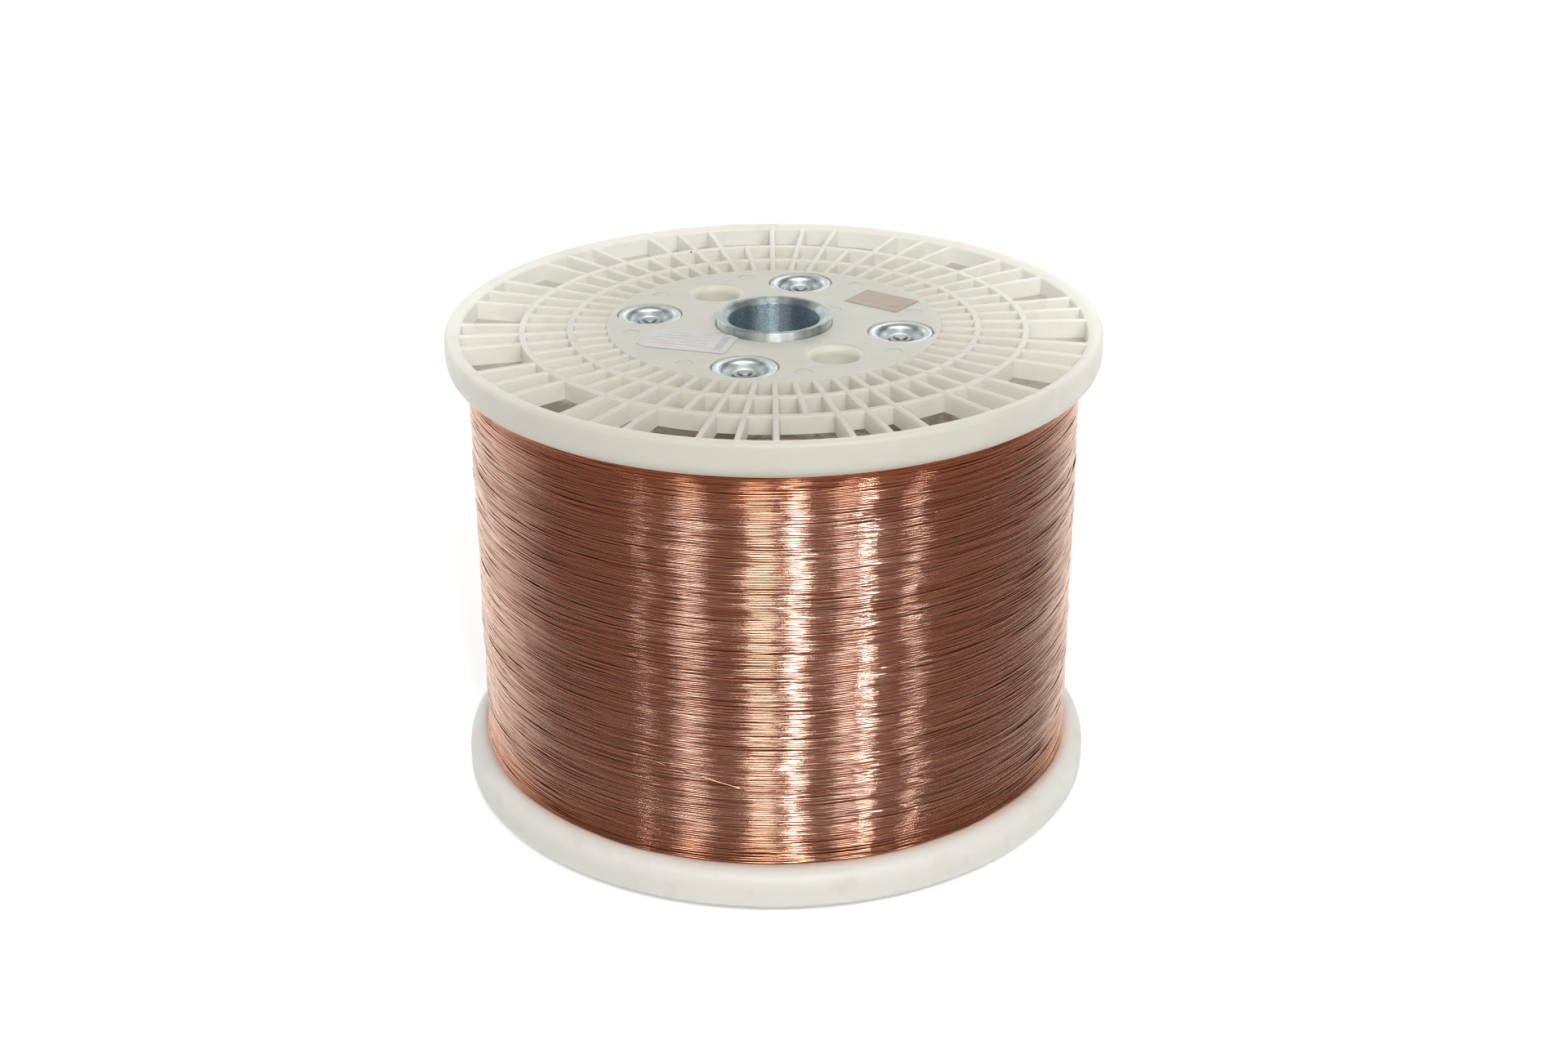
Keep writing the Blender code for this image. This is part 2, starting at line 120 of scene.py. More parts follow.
# Fasteners
ROD_RADIUS = 0.004
ROD_CLEARANCE = 0.0006
ROD_PITCH = 0.00125
ROD_THREADS = 12
ROD_THREAD_DEPTH = 0.0005
ROD_GROOVE_SHARE = 0.5
ROD_CREST_SHARE = 0.95
ROD_CHAMFER = 0.0007
ROD_CHAMFER_INSET = 0.0001
ROD_POINT_INSET = 0.0002
ROD_STEPS = 32
NUT_ACROSS_FLATS = 0.013
NUT_CHAMFER = 0.0012
NUT_FACE_SHARE = 0.95
NUT_CORNER_ROOM = 0.0004
NUT_EDGE = 0.00025
NUT_EDGE_STEPS = 2
NUT_CLEARANCE = 0.0002
NUT_LEAD_IN = 0.0007
NUT_CUT_PAST = 0.001
NUT_TURNING_STEPS = 64
NUT_HOLE_STEPS = 48
CUP_RADIUS = 0.0198
CUP_LIP = 0.0140
CUP_FLOOR = 0.0100
CUP_DEPTH = 0.0105
CUP_SHEET = 0.0020
CUP_RECESS = 0.0008
CUP_UNDER_ROUND = 0.0005
CUP_STEPS = 72
# Stretches of the cup's outline, as steps outwards and upwards from its radius, its lip or its floor
CUP_RIM_BEND = ((0, -0.0012), (-0.0004, -0.0004), (-0.0013, 0), (-0.0030, -0.0001))
CUP_LIP_BEND = (
    (0.0014, -0.0006), (0.0003, -0.0013), (-0.0004, -0.0026), (-0.0008, -0.0048), (-0.0015, -0.0070),
)
CUP_FLOOR_BEND = ((0.0010, 0.0014), (-0.0002, 0.0003), (-0.0015, 0))
CUP_UNDERSIDE = ((-0.0004, -0.0075), (CUP_SHEET, -0.0045), (CUP_SHEET, -CUP_SHEET))

# Arbor tube
TUBE_RADIUS = 0.035
TUBE_BORE = 0.028
TUBE_MOUTH = 0.0316
TUBE_MOUTH_DEPTH = 0.0025
TUBE_EDGE = 0.0005
TUBE_MOUTH_SHARES = (0.8, 0.2)
TUBE_ROUND_SHARES = (1.4, 0.4)
TUBE_END = 0.012
TUBE_STEPS = 144

# Wire
WINDING_RADIUS = 0.187
BARREL_RADIUS = 0.1003
WIRE_DIAMETER = 0.00099
WIRE_PITCH = 0.0010
WIRE_RUNS = 4
WIRE_POINTS = 96
WIRE_ROUND_STEPS = 2
WIRE_SEED = 11
WIRE_EASING = (0.25, 0.5, 0.25)
WIRE_WANDER = 0.00042
WIRE_DRIFT = 0.00012
WIRE_SWELL = 0.00026
WIRE_SWELL_KNOTS = (0.014, 24)
WIRE_FLARE = 0.0016
WIRE_FLARE_HEIGHT = 0.004
WIRE_BODY_INSET = 0.0012
WIRE_BODY_GAP = 0.0003
WIRE_BODY_STEPS = 144
STRAND_TURNS = (radians(-24.5), radians(-5.0))
STRAND_HEIGHTS = (0.0890, 0.0755)
STRAND_SAG = 0.0010
STRAND_DIAMETER = 0.0007
STRAND_POINTS = 40
STRAND_TUCK = 0.06
STRAND_RISE = 1.1
STRAND_DEPTH = 0.7

# Paper
LABEL_SIZE = (0.056, 0.032)
LABEL_PLACE = (-0.052, -0.033)
LABEL_TURN = radians(-16)
LABEL_TEAR = (0.016, 0.009)
LABEL_TRIM_STEPS = 96
TAG_SIZE = (0.0385, 0.026)
TAG_PLACE = (0.0674, 0.0380)
TAG_TURN = radians(-36)
PAPER_THICKNESS = 0.00025
PAPER_LIFT = 0.0001
PAPER_GRID = (28, 18)

UPPER_FACE = RIM_TOP - FLANGE_THICKNESS
LOWER_FACE = RIM_FOOT + FLANGE_THICKNESS
RIM_STEPS = CELL_COUNT * CELL_LINES

# Largest angles, in degrees, that shade as one surface
SMOOTH = 35
CUP_SMOOTH = 50
NUT_SMOOTH = 30
ROD_SMOOTH = 40
TUBE_SMOOTH = 25


# Modelling helpers

def select_only(piece):
    bpy.ops.object.select_all(action="DESELECT")
    piece.select_set(True)
    bpy.context.view_layer.objects.active = piece


def edit(piece):
    select_only(piece)
    bpy.ops.object.mode_set(mode="EDIT")
    bpy.ops.mesh.select_mode(type="EDGE")


def leave():
    bpy.ops.object.mode_set(mode="OBJECT")


def named(piece, name):
    piece.name = name
    piece.data.name = name
    return piece


def pick(group, test):
    """Selects, in edit mode, only those verts, edges or faces that pass the test."""
    bpy.ops.mesh.select_mode(type={"verts": "VERT", "edges": "EDGE", "faces": "FACE"}[group])
    bpy.ops.mesh.select_all(action="DESELECT")
    mesh = bpy.context.object.data
    shape = bmesh.from_edit_mesh(mesh)
    for item in getattr(shape, group):
        if test(item):
            item.select_set(True)
    shape.select_flush_mode()
    bmesh.update_edit_mesh(mesh)


def draw_out(start, profile):
    """Pulls the selected ring of edges along (radius, height) points."""
    radius, height = start
    for next_radius, next_height in profile:
        scale = next_radius / radius
        bpy.ops.mesh.extrude_edges_move()
        bpy.ops.transform.resize(value=(scale, scale, 1), center_override=(0, 0, 0))
        bpy.ops.transform.translate(value=(0, 0, next_height - height))
        radius, height = next_radius, next_height


def ring(name, start, steps, turn=0):
    """A ring of edges round Z, open for editing."""
    bpy.ops.object.select_all(action="DESELECT")
    bpy.ops.mesh.primitive_circle_add(vertices=steps, radius=start[0], rotation=(0, 0, turn))
    piece = named(bpy.context.object, name)
    bpy.ops.object.transform_apply(location=False, rotation=True, scale=False)
    edit(piece)
    bpy.ops.mesh.select_all(action="SELECT")
    bpy.ops.transform.translate(value=(0, 0, start[1]))
    return piece


def close_up(hollow):
    """Joins the two open ends to each other, or caps each of them."""
    bpy.ops.mesh.select_mode(type="EDGE")
    if hollow:
        bpy.ops.mesh.select_all(action="DESELECT")
        bpy.ops.mesh.select_non_manifold(extend=False)
        bpy.ops.mesh.bridge_edge_loops()
    bpy.ops.mesh.select_all(action="SELECT")
    if not hollow:
        bpy.ops.mesh.fill_holes(sides=0)
    bpy.ops.mesh.normals_make_consistent(inside=False)


def turned(name, profile, steps, hollow=True):
    """A piece as off a lathe, from its (radius, height) outline."""
    piece = ring(name, profile[0], steps)
    draw_out(profile[0], profile[1:])
    close_up(hollow)
    leave()
    return piece


def polar(radius, turn):
    return radius * cos(turn), radius * sin(turn)


def shifted(points, across, up):
    return [(across + x, up + y) for x, y in points]


def arc(centre, size, start, end, steps):
    """Points of a round in an outline, angles in degrees."""
    turns = [radians(start + (end - start) * step / steps) for step in range(steps + 1)]
    return shifted([polar(size, turn) for turn in turns], *centre)


def seat(piece, matrix):
    """Moves a piece to its place, and keeps the place in its mesh."""
    piece.matrix_world = matrix
    select_only(piece)
    bpy.ops.object.transform_apply(location=True, rotation=True, scale=True)
    return piece


def twin(piece, name):
    select_only(piece)
    bpy.ops.object.duplicate()
    return named(bpy.context.object, name)


def joined(pieces):
    select_only(pieces[0])
    for piece in pieces[1:]:
        piece.select_set(True)
    bpy.ops.object.join()
    return bpy.context.object


def apply_modifier(piece, kind, **settings):
    change = piece.modifiers.new(kind, kind)
    for setting, value in settings.items():
        setattr(change, setting, value)
    select_only(piece)
    bpy.ops.object.modifier_apply(modifier=change.name)


def carve(piece, tool, operation="DIFFERENCE"):
    apply_modifier(piece, "BOOLEAN", operation=operation, solver="EXACT", object=tool)
    bpy.data.objects.remove(tool)


def smooth(piece, limit=SMOOTH):
    select_only(piece)
    bpy.ops.object.shade_smooth_by_angle(angle=radians(limit))
    apply_modifier(piece, "WEIGHTED_NORMAL", keep_sharp=True)


def dress(piece, finish, slot, *nodes):
    """Gives a finished piece its material and its place in the frame."""
    piece.data.materials.clear()
    piece.data.materials.append(finish)
    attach(piece, "root")
    if nodes:
        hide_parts(*nodes)


# Flange

def cell_radii():
    """Inner and outer radius of each ring of cells between the disc and the rim."""
    band = CELLS_EDGE - DISC_RADIUS
    share = (band - RING_WALL * (len(CELL_RING_PARTS) - 1)) / sum(CELL_RING_PARTS)
    radii = []
    start = DISC_RADIUS
    for parts in CELL_RING_PARTS:
        radii += [start, start + parts * share]
        start = radii[-1] + RING_WALL
    return radii


def line_number(place):
    """Which of the lines round the flange a point lies on, counted from the middle of a rib."""
    return atan2(place.y, place.x) / tau * RIM_STEPS


def straighten_ribs(radii):
    """Turns the lines beside each rib so that ribs keep one thickness at every radius."""
    for radius in radii:
        turn = asin(RIB_THICKNESS / 2 / radius) - pi / RIM_STEPS
        for line, way in ((0, 1), (CELL_LINES - 1, -1)):
            pick("verts", lambda vert: (
                abs(hypot(vert.co.x, vert.co.y) - radius) < SAME_PLACE
                and abs(vert.co.z - RIB_TOP) < SAME_PLACE
                and round(line_number(vert.co) - 0.5) % CELL_LINES == line
            ))
            bpy.ops.transform.rotate(value=-way * turn, orient_axis="Z", center_override=(0, 0, 0))


def in_cell(place, radii):
    """Whether a face on top is sunk: ribs stay, but some in the outer ring are left out."""
    radius = hypot(place.x, place.y)
    if abs(place.z - RIB_TOP) > SAME_PLACE:
        return False
    for number, (inner, outer) in enumerate(zip(radii[::2], radii[1::2])):
        if inner < radius < outer:
            line = round(line_number(place))
            on_rib = line % CELL_LINES == 0
            left_out = line // CELL_LINES % WIDE_CELL_PERIOD == WIDE_CELL_RIB
            return not on_rib or (left_out and number == len(CELL_RING_PARTS) - 1)
    return False


def on_cell_edge(edge, radii):
    """Whether an edge is a sharp one of the cells, between the disc and the rim."""
    floor = RIB_TOP - CELL_DEPTH
    return edge.calc_face_angle(0) > CELL_EDGE_ANGLE and all(
        radii[0] - RING_MARGIN < hypot(vert.co.x, vert.co.y) < radii[-1] + RING_MARGIN
        and vert.co.z > floor - FLOOR_MARGIN
        for vert in edge.verts
    )


def rim_profile():
    """From the outermost cells over the crowned rim and round to the inner face."""
    crown = [
        (CELLS_EDGE + RIM_CROWN * share, RIB_TOP + RIM_STEP * sin(share * pi / 2))
        for share in RIM_CROWN_SHARES
    ]
    outer = (FLANGE_RADIUS - RIM_OUTER_ROUND, FLANGE_THICKNESS - RIM_OUTER_ROUND)
    inner = (FLANGE_RADIUS - RIM_INNER_ROUND, RIM_INNER_ROUND)
    return (
        crown
        + arc(outer, RIM_OUTER_ROUND, RIM_OUTER_START, 0, RIM_OUTER_STEPS)
        + arc(inner, RIM_INNER_ROUND, 0, -90, RIM_INNER_STEPS)
    )


def hub_profile():
    """From the inner face over the spigot, the recess and the hub up the bore to the disc."""
    ceiling = RIB_TOP - DISC_THICKNESS
    return [
        (SPIGOT_RADIUS, 0),
        (SPIGOT_RADIUS, -SPIGOT_HEIGHT),
        (RECESS_RADIUS, -SPIGOT_HEIGHT),
        (RECESS_RADIUS, ceiling),
        (HUB_RADIUS, ceiling),
        (HUB_RADIUS, -SPIGOT_HEIGHT),
        (HUB_BORE, -SPIGOT_HEIGHT),
        (HUB_BORE, RIB_TOP - CELL_ROUND),
        (HUB_BORE + CELL_ROUND, RIB_TOP),
    ]


def rod_places():
    return [polar(ROD_CIRCLE, tau * rod / ROD_COUNT) for rod in range(ROD_COUNT)]


def drive_places():
    first = pi / ROD_COUNT
    return [polar(DRIVE_HOLE_CIRCLE, turn) for turn in (first, first + pi)]


def ejector_places():
    return [
        polar(radius, tau * rod / ROD_COUNT + radians(turn))
        for radius, turns in EJECTOR_CIRCLES
        for rod in range(ROD_COUNT)
        for turn in turns
    ]


def set_round(model, places):
    """Copies of a model at these places, as one object."""
    copies = []
    for number, place in enumerate(places):
        copy = twin(model, f"{model.name}_{number}")
        copies.append(seat(copy, Matrix.Translation((*place, 0))))
    bpy.data.objects.remove(model)
    return joined(copies)


def washer_seat():
    """Outline of the stepped seat of a cup washer, with a rounded edge."""
    rim = CUP_RADIUS + SEAT_CLEARANCE
    body = CUP_LIP + CUP_SHEET + SEAT_CLEARANCE
    ledge = RIB_TOP - CUP_RECESS - CUP_SHEET - SEAT_CLEARANCE
    below = RIB_TOP - CUP_RECESS - CUP_DEPTH - CUP_SHEET - SEAT_CLEARANCE
    edge = (rim + CELL_ROUND, RIB_TOP + CUT_LIFT - CELL_ROUND)
    return (
        [(body, below), (body, ledge), (rim, ledge)]
        + arc(edge, CELL_ROUND, 180, 90, SEAT_EDGE_STEPS)
        + [(rim + CELL_ROUND, RIB_TOP + CUT_ABOVE)]
    )


def drive_hole():
    """Outline of a drive hole that flares out to the face of the disc."""
    mouth = DRIVE_HOLE_RADIUS + DRIVE_FUNNEL
    flare = arc((mouth, RIB_TOP + CUT_LIFT - DRIVE_FUNNEL), DRIVE_FUNNEL, 180, 90, DRIVE_FUNNEL_STEPS)
    return [(DRIVE_HOLE_RADIUS, -CUT_BELOW)] + flare + [(mouth, RIB_TOP + CUT_ABOVE)]


def ejector_mark():
    """Outline of the shallow round mark of an ejector pin."""
    return [
        (EJECTOR_RADIUS - EJECTOR_DEPTH, RIB_TOP - EJECTOR_DEPTH),
        (EJECTOR_RADIUS, RIB_TOP + CUT_LIFT),
        (EJECTOR_RADIUS, RIB_TOP + CUT_ABOVE),
    ]


def flange_tools():
    """What is cut out of the disc: washer seats, flared drive holes and shallow ejector marks."""
    return [
        set_round(turned(name, outline, steps, hollow=False), places)
        for name, outline, steps, places in (
            ("washer_seat", washer_seat(), SEAT_STEPS, rod_places()),
            ("drive_hole", drive_hole(), DRIVE_STEPS, drive_places()),
            ("ejector_mark", ejector_mark(), EJECTOR_STEPS, ejector_places()),
        )
    ]


def drive_sleeves():
    """Short sleeves under the disc, which the drive holes run through."""
    wall = DRIVE_HOLE_RADIUS + DRIVE_SLEEVE_WALL
    solid = [(wall, -SPIGOT_HEIGHT), (wall, RIB_TOP - DISC_THICKNESS / 2)]
    return set_round(turned("drive_sleeve", solid, DRIVE_STEPS, hollow=False), drive_places())


def flange():
    radii = cell_radii()
    start = (radii[0], RIB_TOP)
    piece = ring("flange", start, RIM_STEPS, turn=pi / RIM_STEPS)
    flat = [(radius, RIB_TOP) for radius in radii[1:]]
    draw_out(start, flat + rim_profile() + hub_profile())
    close_up(hollow=True)
    straighten_ribs(radii)
    pick("faces", lambda face: in_cell(face.calc_center_median(), radii))
    bpy.ops.mesh.inset(thickness=CELL_DRAFT, depth=-CELL_DEPTH, use_even_offset=True)
    pick("edges", lambda edge: on_cell_edge(edge, radii))
    bpy.ops.mesh.bevel(offset=CELL_ROUND, segments=CELL_ROUND_STEPS, affect="EDGES", clamp_overlap=True)
    leave()
    carve(piece, drive_sleeves(), "UNION")
    for tool in flange_tools():
        carve(piece, tool)
    smooth(piece)
    return piece


def flange_seats():
    """Both flanges are one moulding: the lower one is turned over."""
    turn = Matrix.Rotation(ROD_TURN, 4, "Z")
    over = Matrix.Rotation(pi, 4, "X")
    upper = Matrix.Translation((0, 0, UPPER_FACE)) @ turn
    lower = Matrix.Translation((0, 0, LOWER_FACE)) @ turn @ over
    return {"upper": upper, "lower": lower}


def flanges(finish):
    upper = flange()
    lower = twin(upper, "flange_twin")
    for side, piece in (("upper", upper), ("lower", lower)):
        seat(piece, flange_seats()[side])
        named(piece, f"{side}_flange_moulding")
        dress(piece, finish, "ivory_plastic", f"{side}_flange")


# Fasteners

def cup_washer():
    """Pressed sheet: a broad rolled rim, a lip and a bowl down to the rod hole."""
    rim = RIB_TOP - CUP_RECESS
    floor = rim - CUP_DEPTH
    under = floor - CUP_SHEET
    hole = ROD_RADIUS + ROD_CLEARANCE
    outline = (
        shifted(CUP_RIM_BEND, CUP_RADIUS, rim)
        + shifted(CUP_LIP_BEND, CUP_LIP, rim)
        + shifted(CUP_FLOOR_BEND, CUP_FLOOR, floor)
        + [(hole, floor), (hole, under), (CUP_FLOOR - CUP_UNDER_ROUND, under)]
        + shifted(CUP_UNDERSIDE, CUP_LIP, rim)
        + [(CUP_RADIUS, rim - CUP_SHEET)]
    )
    piece = turned("cup_washer", outline, CUP_STEPS)
    smooth(piece, CUP_SMOOTH)
    return piece


def hexagon_nut():
    """A hexagon with its corners turned off at both faces, and the hole for the rod.

    Both cuts run on past the faces: one that ended level with them would not always come out the same.
    """
    height = NUT_TOP - NUT_FOOT
    low = NUT_FOOT - UPPER_FACE
    high = low + height
    flat = NUT_ACROSS_FLATS / 2
    corner = flat / cos(pi / 6)
    bpy.ops.object.select_all(action="DESELECT")
    bpy.ops.mesh.primitive_cylinder_add(
        vertices=6, radius=corner, depth=height, location=(0, 0, low + height / 2)
    )
    piece = named(bpy.context.object, "nut")
    bpy.ops.object.transform_apply(location=True, rotation=False, scale=False)
    edit(piece)
    pick("edges", lambda edge: abs(edge.verts[0].co.z - edge.verts[1].co.z) > height / 2)
    bpy.ops.mesh.bevel(offset=NUT_EDGE, segments=NUT_EDGE_STEPS, affect="EDGES")
    leave()
    face = flat * NUT_FACE_SHARE
    swing = corner + NUT_CORNER_ROOM
    point = face - (swing - face) * NUT_CUT_PAST / NUT_CHAMFER
    turned_off = [
        (point, low - NUT_CUT_PAST),
        (swing, low + NUT_CHAMFER),
        (swing, high - NUT_CHAMFER),
        (point, high + NUT_CUT_PAST),
    ]
    carve(piece, turned("nut_corners", turned_off, NUT_TURNING_STEPS, hollow=False), "INTERSECT")
    bore = ROD_RADIUS + NUT_CLEARANCE
    mouth = bore + NUT_LEAD_IN + NUT_CUT_PAST
    hole = [
        (mouth, low - NUT_CUT_PAST),
        (bore, low + NUT_LEAD_IN),
        (bore, high - NUT_LEAD_IN),
        (mouth, high + NUT_CUT_PAST),
    ]
    carve(piece, turned("nut_hole", hole, NUT_HOLE_STEPS, hollow=False))
    smooth(piece, NUT_SMOOTH)
    return piece


def tie_rod():
    """A plain rod with grooves for a thread on each end and a chamfer to start the nut."""
    root = ROD_RADIUS - ROD_THREAD_DEPTH
    end = [(root - ROD_POINT_INSET, 0), (ROD_RADIUS - ROD_CHAMFER_INSET, ROD_CHAMFER)]
    for turn in range(ROD_THREADS):
        start = ROD_CHAMFER + turn * ROD_PITCH
        end.append((root, start + ROD_PITCH * ROD_GROOVE_SHARE))
        end.append((ROD_RADIUS, start + ROD_PITCH * ROD_CREST_SHARE))
    lower = [(radius, ROD_FOOT + height) for radius, height in end]
    upper = [(radius, ROD_TOP - height) for radius, height in reversed(end)]
    piece = turned("tie_rod", lower + upper, ROD_STEPS, hollow=False)
    smooth(piece, ROD_SMOOTH)
    return piece


def fasteners(zinc, nut_steel, rod_steel):
    models = {
        "cup_washer": (cup_washer(), zinc, "zinc_plate"),
        "nut": (hexagon_nut(), nut_steel, "bright_steel"),
    }
    for side, flange_seat in flange_seats().items():
        for number, place in enumerate(rod_places(), 1):
            for kind, (model, finish, slot) in models.items():
                piece = twin(model, f"{side}_{kind}_{number}_dressed")
                seat(piece, flange_seat @ Matrix.Translation((*place, 0)))
                dress(piece, finish, slot, f"{side}_{kind}_{number}")
    for model, _, _ in models.values():
        bpy.data.objects.remove(model)
    rod = tie_rod()
    for number, place in enumerate(rod_places(), 1):
        piece = twin(rod, f"tie_rod_{number}_dressed")
        seat(piece, Matrix.Rotation(ROD_TURN, 4, "Z") @ Matrix.Translation((*place, 0)))
        dress(piece, rod_steel, "bright_steel", f"tie_rod_{number}")
    bpy.data.objects.remove(rod)


# Arbor tube

def arbor_tube(finish):
    """A plain tube, both mouths chamfered inside and eased outside."""
    mouth_low, mouth_high = (TUBE_EDGE * share for share in TUBE_MOUTH_SHARES)
    wide, narrow = (TUBE_EDGE * share for share in TUBE_ROUND_SHARES)
    half = [
        (TUBE_BORE, TUBE_TOP - TUBE_END),
        (TUBE_BORE, TUBE_TOP - TUBE_MOUTH_DEPTH - TUBE_EDGE),
        (TUBE_BORE + TUBE_EDGE / 2, TUBE_TOP - TUBE_MOUTH_DEPTH),
        (TUBE_MOUTH - TUBE_EDGE, TUBE_TOP - mouth_low),
        (TUBE_MOUTH, TUBE_TOP - mouth_high),
        (TUBE_MOUTH + TUBE_EDGE, TUBE_TOP),
        (TUBE_RADIUS - wide, TUBE_TOP),
        (TUBE_RADIUS - narrow, TUBE_TOP - narrow),
        (TUBE_RADIUS, TUBE_TOP - wide),
        (TUBE_RADIUS, TUBE_TOP - TUBE_END),
    ]
    other = [(radius, TUBE_TOP + TUBE_FOOT - height) for radius, height in reversed(half)]
    piece = turned("arbor_tube_turned", half + other, TUBE_STEPS)
    smooth(piece, TUBE_SMOOTH)
    dress(piece, finish, "galvanised_steel", "arbor_tube")


# Wire

def swell(chance, turn, height, rise, columns):
    """Smooth random values over the drum, with knots this far apart in height and this many round it."""
    rows = int((height[-1] - height[0]) / rise) + 3
    knots = chance.normal(size=(rows, columns))
    row = (height - height[0]) / rise
    column = turn / tau % 1 * columns
    low, left = row.astype(int), column.astype(int) % columns
    right = (left + 1) % columns
    up = (1 - np.cos(pi * (row % 1))) / 2
    along = (1 - np.cos(pi * (column % 1))) / 2
    lower = knots[low, left] * (1 - along) + knots[low, right] * along
    upper = knots[low + 1, left] * (1 - along) + knots[low + 1, right] * along
    return lower * (1 - up) + upper * up


def wander(chance, count):
    """How far each point of the wire lies out of true, eased along its length."""
    return np.convolve(chance.normal(size=count + len(WIRE_EASING) - 1), WIRE_EASING, "valid")


def wire_path():
    """The whole wire of the outer layer, from the lower flange to the upper one."""
    chance = np.random.default_rng(WIRE_SEED)
    low = LOWER_FACE + WIRE_DIAMETER / 2
    high = UPPER_FACE - WIRE_DIAMETER / 2
    count = int((high - low) / WIRE_PITCH * WIRE_POINTS) + 1
    turn = np.arange(count) / WIRE_POINTS * tau
    height = low + turn / tau * WIRE_PITCH
    flare = np.exp((low - height) / WIRE_FLARE_HEIGHT) + np.exp((height - high) / WIRE_FLARE_HEIGHT)
    radius = WINDING_RADIUS - WIRE_DIAMETER / 2 + flare * WIRE_FLARE
    swollen = swell(chance, turn, height, *WIRE_SWELL_KNOTS) * WIRE_SWELL
    radius += swollen + wander(chance, count) * WIRE_WANDER
    height = np.clip(height + wander(chance, count) * WIRE_DRIFT, low, high)
    return np.stack([radius * np.cos(turn), radius * np.sin(turn), height], 1)


def loose_strand():
    """A strand that has sprung out of the outer layer and lies slantwise over it, both ends tucked in."""
    share = np.linspace(0, 1, STRAND_POINTS)
    turn = STRAND_TURNS[0] + share * (STRAND_TURNS[1] - STRAND_TURNS[0]) - pi / 2
    sag = np.sin(share * pi) * STRAND_SAG
    height = STRAND_HEIGHTS[0] + share * (STRAND_HEIGHTS[1] - STRAND_HEIGHTS[0]) + sag
    tucked = np.clip(np.minimum(share, 1 - share) / STRAND_TUCK, 0, 1)
    radius = WINDING_RADIUS + STRAND_DIAMETER * (STRAND_RISE * tucked - STRAND_DEPTH)
    return np.stack([radius * np.cos(turn), radius * np.sin(turn), height], 1)


def wire(name, points, diameter):
    """A round wire through these points."""
    curve = bpy.data.curves.new(name, "CURVE")
    curve.dimensions = "3D"
    curve.bevel_depth = diameter / 2
    curve.bevel_resolution = WIRE_ROUND_STEPS
    curve.use_fill_caps = True
    spline = curve.splines.new("POLY")
    spline.points.add(len(points) - 1)
    spline.points.foreach_set("co", np.c_[points, np.ones(len(points))].ravel())
    piece = bpy.data.objects.new(name, curve)
    bpy.context.scene.collection.objects.link(piece)
    select_only(piece)
    bpy.ops.object.convert(target="MESH")
    piece = named(bpy.context.object, name)
    bpy.ops.object.shade_smooth()
    return piece


def winding(finish, body_finish):
    """The outer layer in a few runs of wire, and the layers under it as one body, in copper toned darker:
    painted shade.
    """
    path = wire_path()
    cuts = np.linspace(0, len(path) - 1, WIRE_RUNS + 1).astype(int)
    strand = wire("loose_strand", loose_strand(), STRAND_DIAMETER)
    for number, (first, last) in enumerate(zip(cuts, cuts[1:]), 1):
        piece = wire(f"wire_run_{number}", path[first:last + 1], WIRE_DIAMETER)
        if path[first, 2] < STRAND_HEIGHTS[0] < path[last, 2]:
            piece = joined([piece, strand])
        dress(piece, finish, "bare_copper", "winding_outer_turns")
    outer = WINDING_RADIUS - WIRE_BODY_INSET
    low = LOWER_FACE + WIRE_BODY_GAP
    high = UPPER_FACE - WIRE_BODY_GAP
    outline = [(BARREL_RADIUS, low), (outer, low), (outer, high), (BARREL_RADIUS, high)]
    body = turned("wire_body", outline, WIRE_BODY_STEPS)
    smooth(body)
    dress(body, body_finish, "under_copper", "winding_core")


# Paper

def paper(name, size, place, turn, tear):
    """A thin flat sheet on the disc, its lower left corner torn off where asked."""
    bpy.ops.object.select_all(action="DESELECT")
    bpy.ops.mesh.primitive_grid_add(x_subdivisions=PAPER_GRID[0], y_subdivisions=PAPER_GRID[1], size=1)
    piece = named(bpy.context.object, name)
    edit(piece)
    bpy.ops.mesh.select_all(action="SELECT")
    bpy.ops.transform.resize(value=(size[0], size[1], 1))
    if tear:
        corner = Vector((-size[0] / 2, -size[1] / 2, 0))
        bpy.ops.mesh.bisect(
            plane_co=corner + Vector((tear[0], 0, 0)), plane_no=(tear[1], tear[0], 0), clear_inner=True
        )
    leave()
    on_disc = Matrix.Translation((*place, UPPER_FACE + RIB_TOP + PAPER_LIFT))
    seat(piece, on_disc @ Matrix.Rotation(turn, 4, "Z"))
    apply_modifier(piece, "SOLIDIFY", thickness=PAPER_THICKNESS, offset=1)
    return piece


def labels(white, pink):
    """The label, trimmed round the tube, and the tag."""
    label = paper("label_sheet", LABEL_SIZE, LABEL_PLACE, LABEL_TURN, LABEL_TEAR)
    round_tube = [(TUBE_RADIUS + SEAT_CLEARANCE, height) for height in (UPPER_FACE, TUBE_TOP)]
    carve(label, turned("label_trim", round_tube, LABEL_TRIM_STEPS, hollow=False))
    tag = paper("tag_sheet", TAG_SIZE, TAG_PLACE, TAG_TURN, None)
    for piece, finish, slot, replaced in (
        (label, white, "white_paper", "paper_label"),
        (tag, pink, "pink_paper", "size_tag"),
    ):
        smooth(piece)
        dress(piece, finish, slot, replaced)


# Shader helpers

CLOUD_DETAIL = 4.0
CLOUD_RANGE = (0.32, 0.68)


def give(tree, made, inputs):
    """Links each input of a node to a socket, or sets it to a value."""
    for socket, value in inputs.items():
        if isinstance(value, bpy.types.NodeSocket):
            tree.links.new(value, made.inputs[socket])
        else:
            made.inputs[socket].default_value = value


def node(tree, kind, inputs=None, **settings):
    made = tree.nodes.new(kind)
    for setting, value in settings.items():
        setattr(made, setting, value)
    give(tree, made, inputs or {})
    return made


def math(tree, operation, first, second=0.0, clamp=False):
    made = node(tree, "ShaderNodeMath", {0: first, 1: second}, operation=operation, use_clamp=clamp)
    return made.outputs[0]


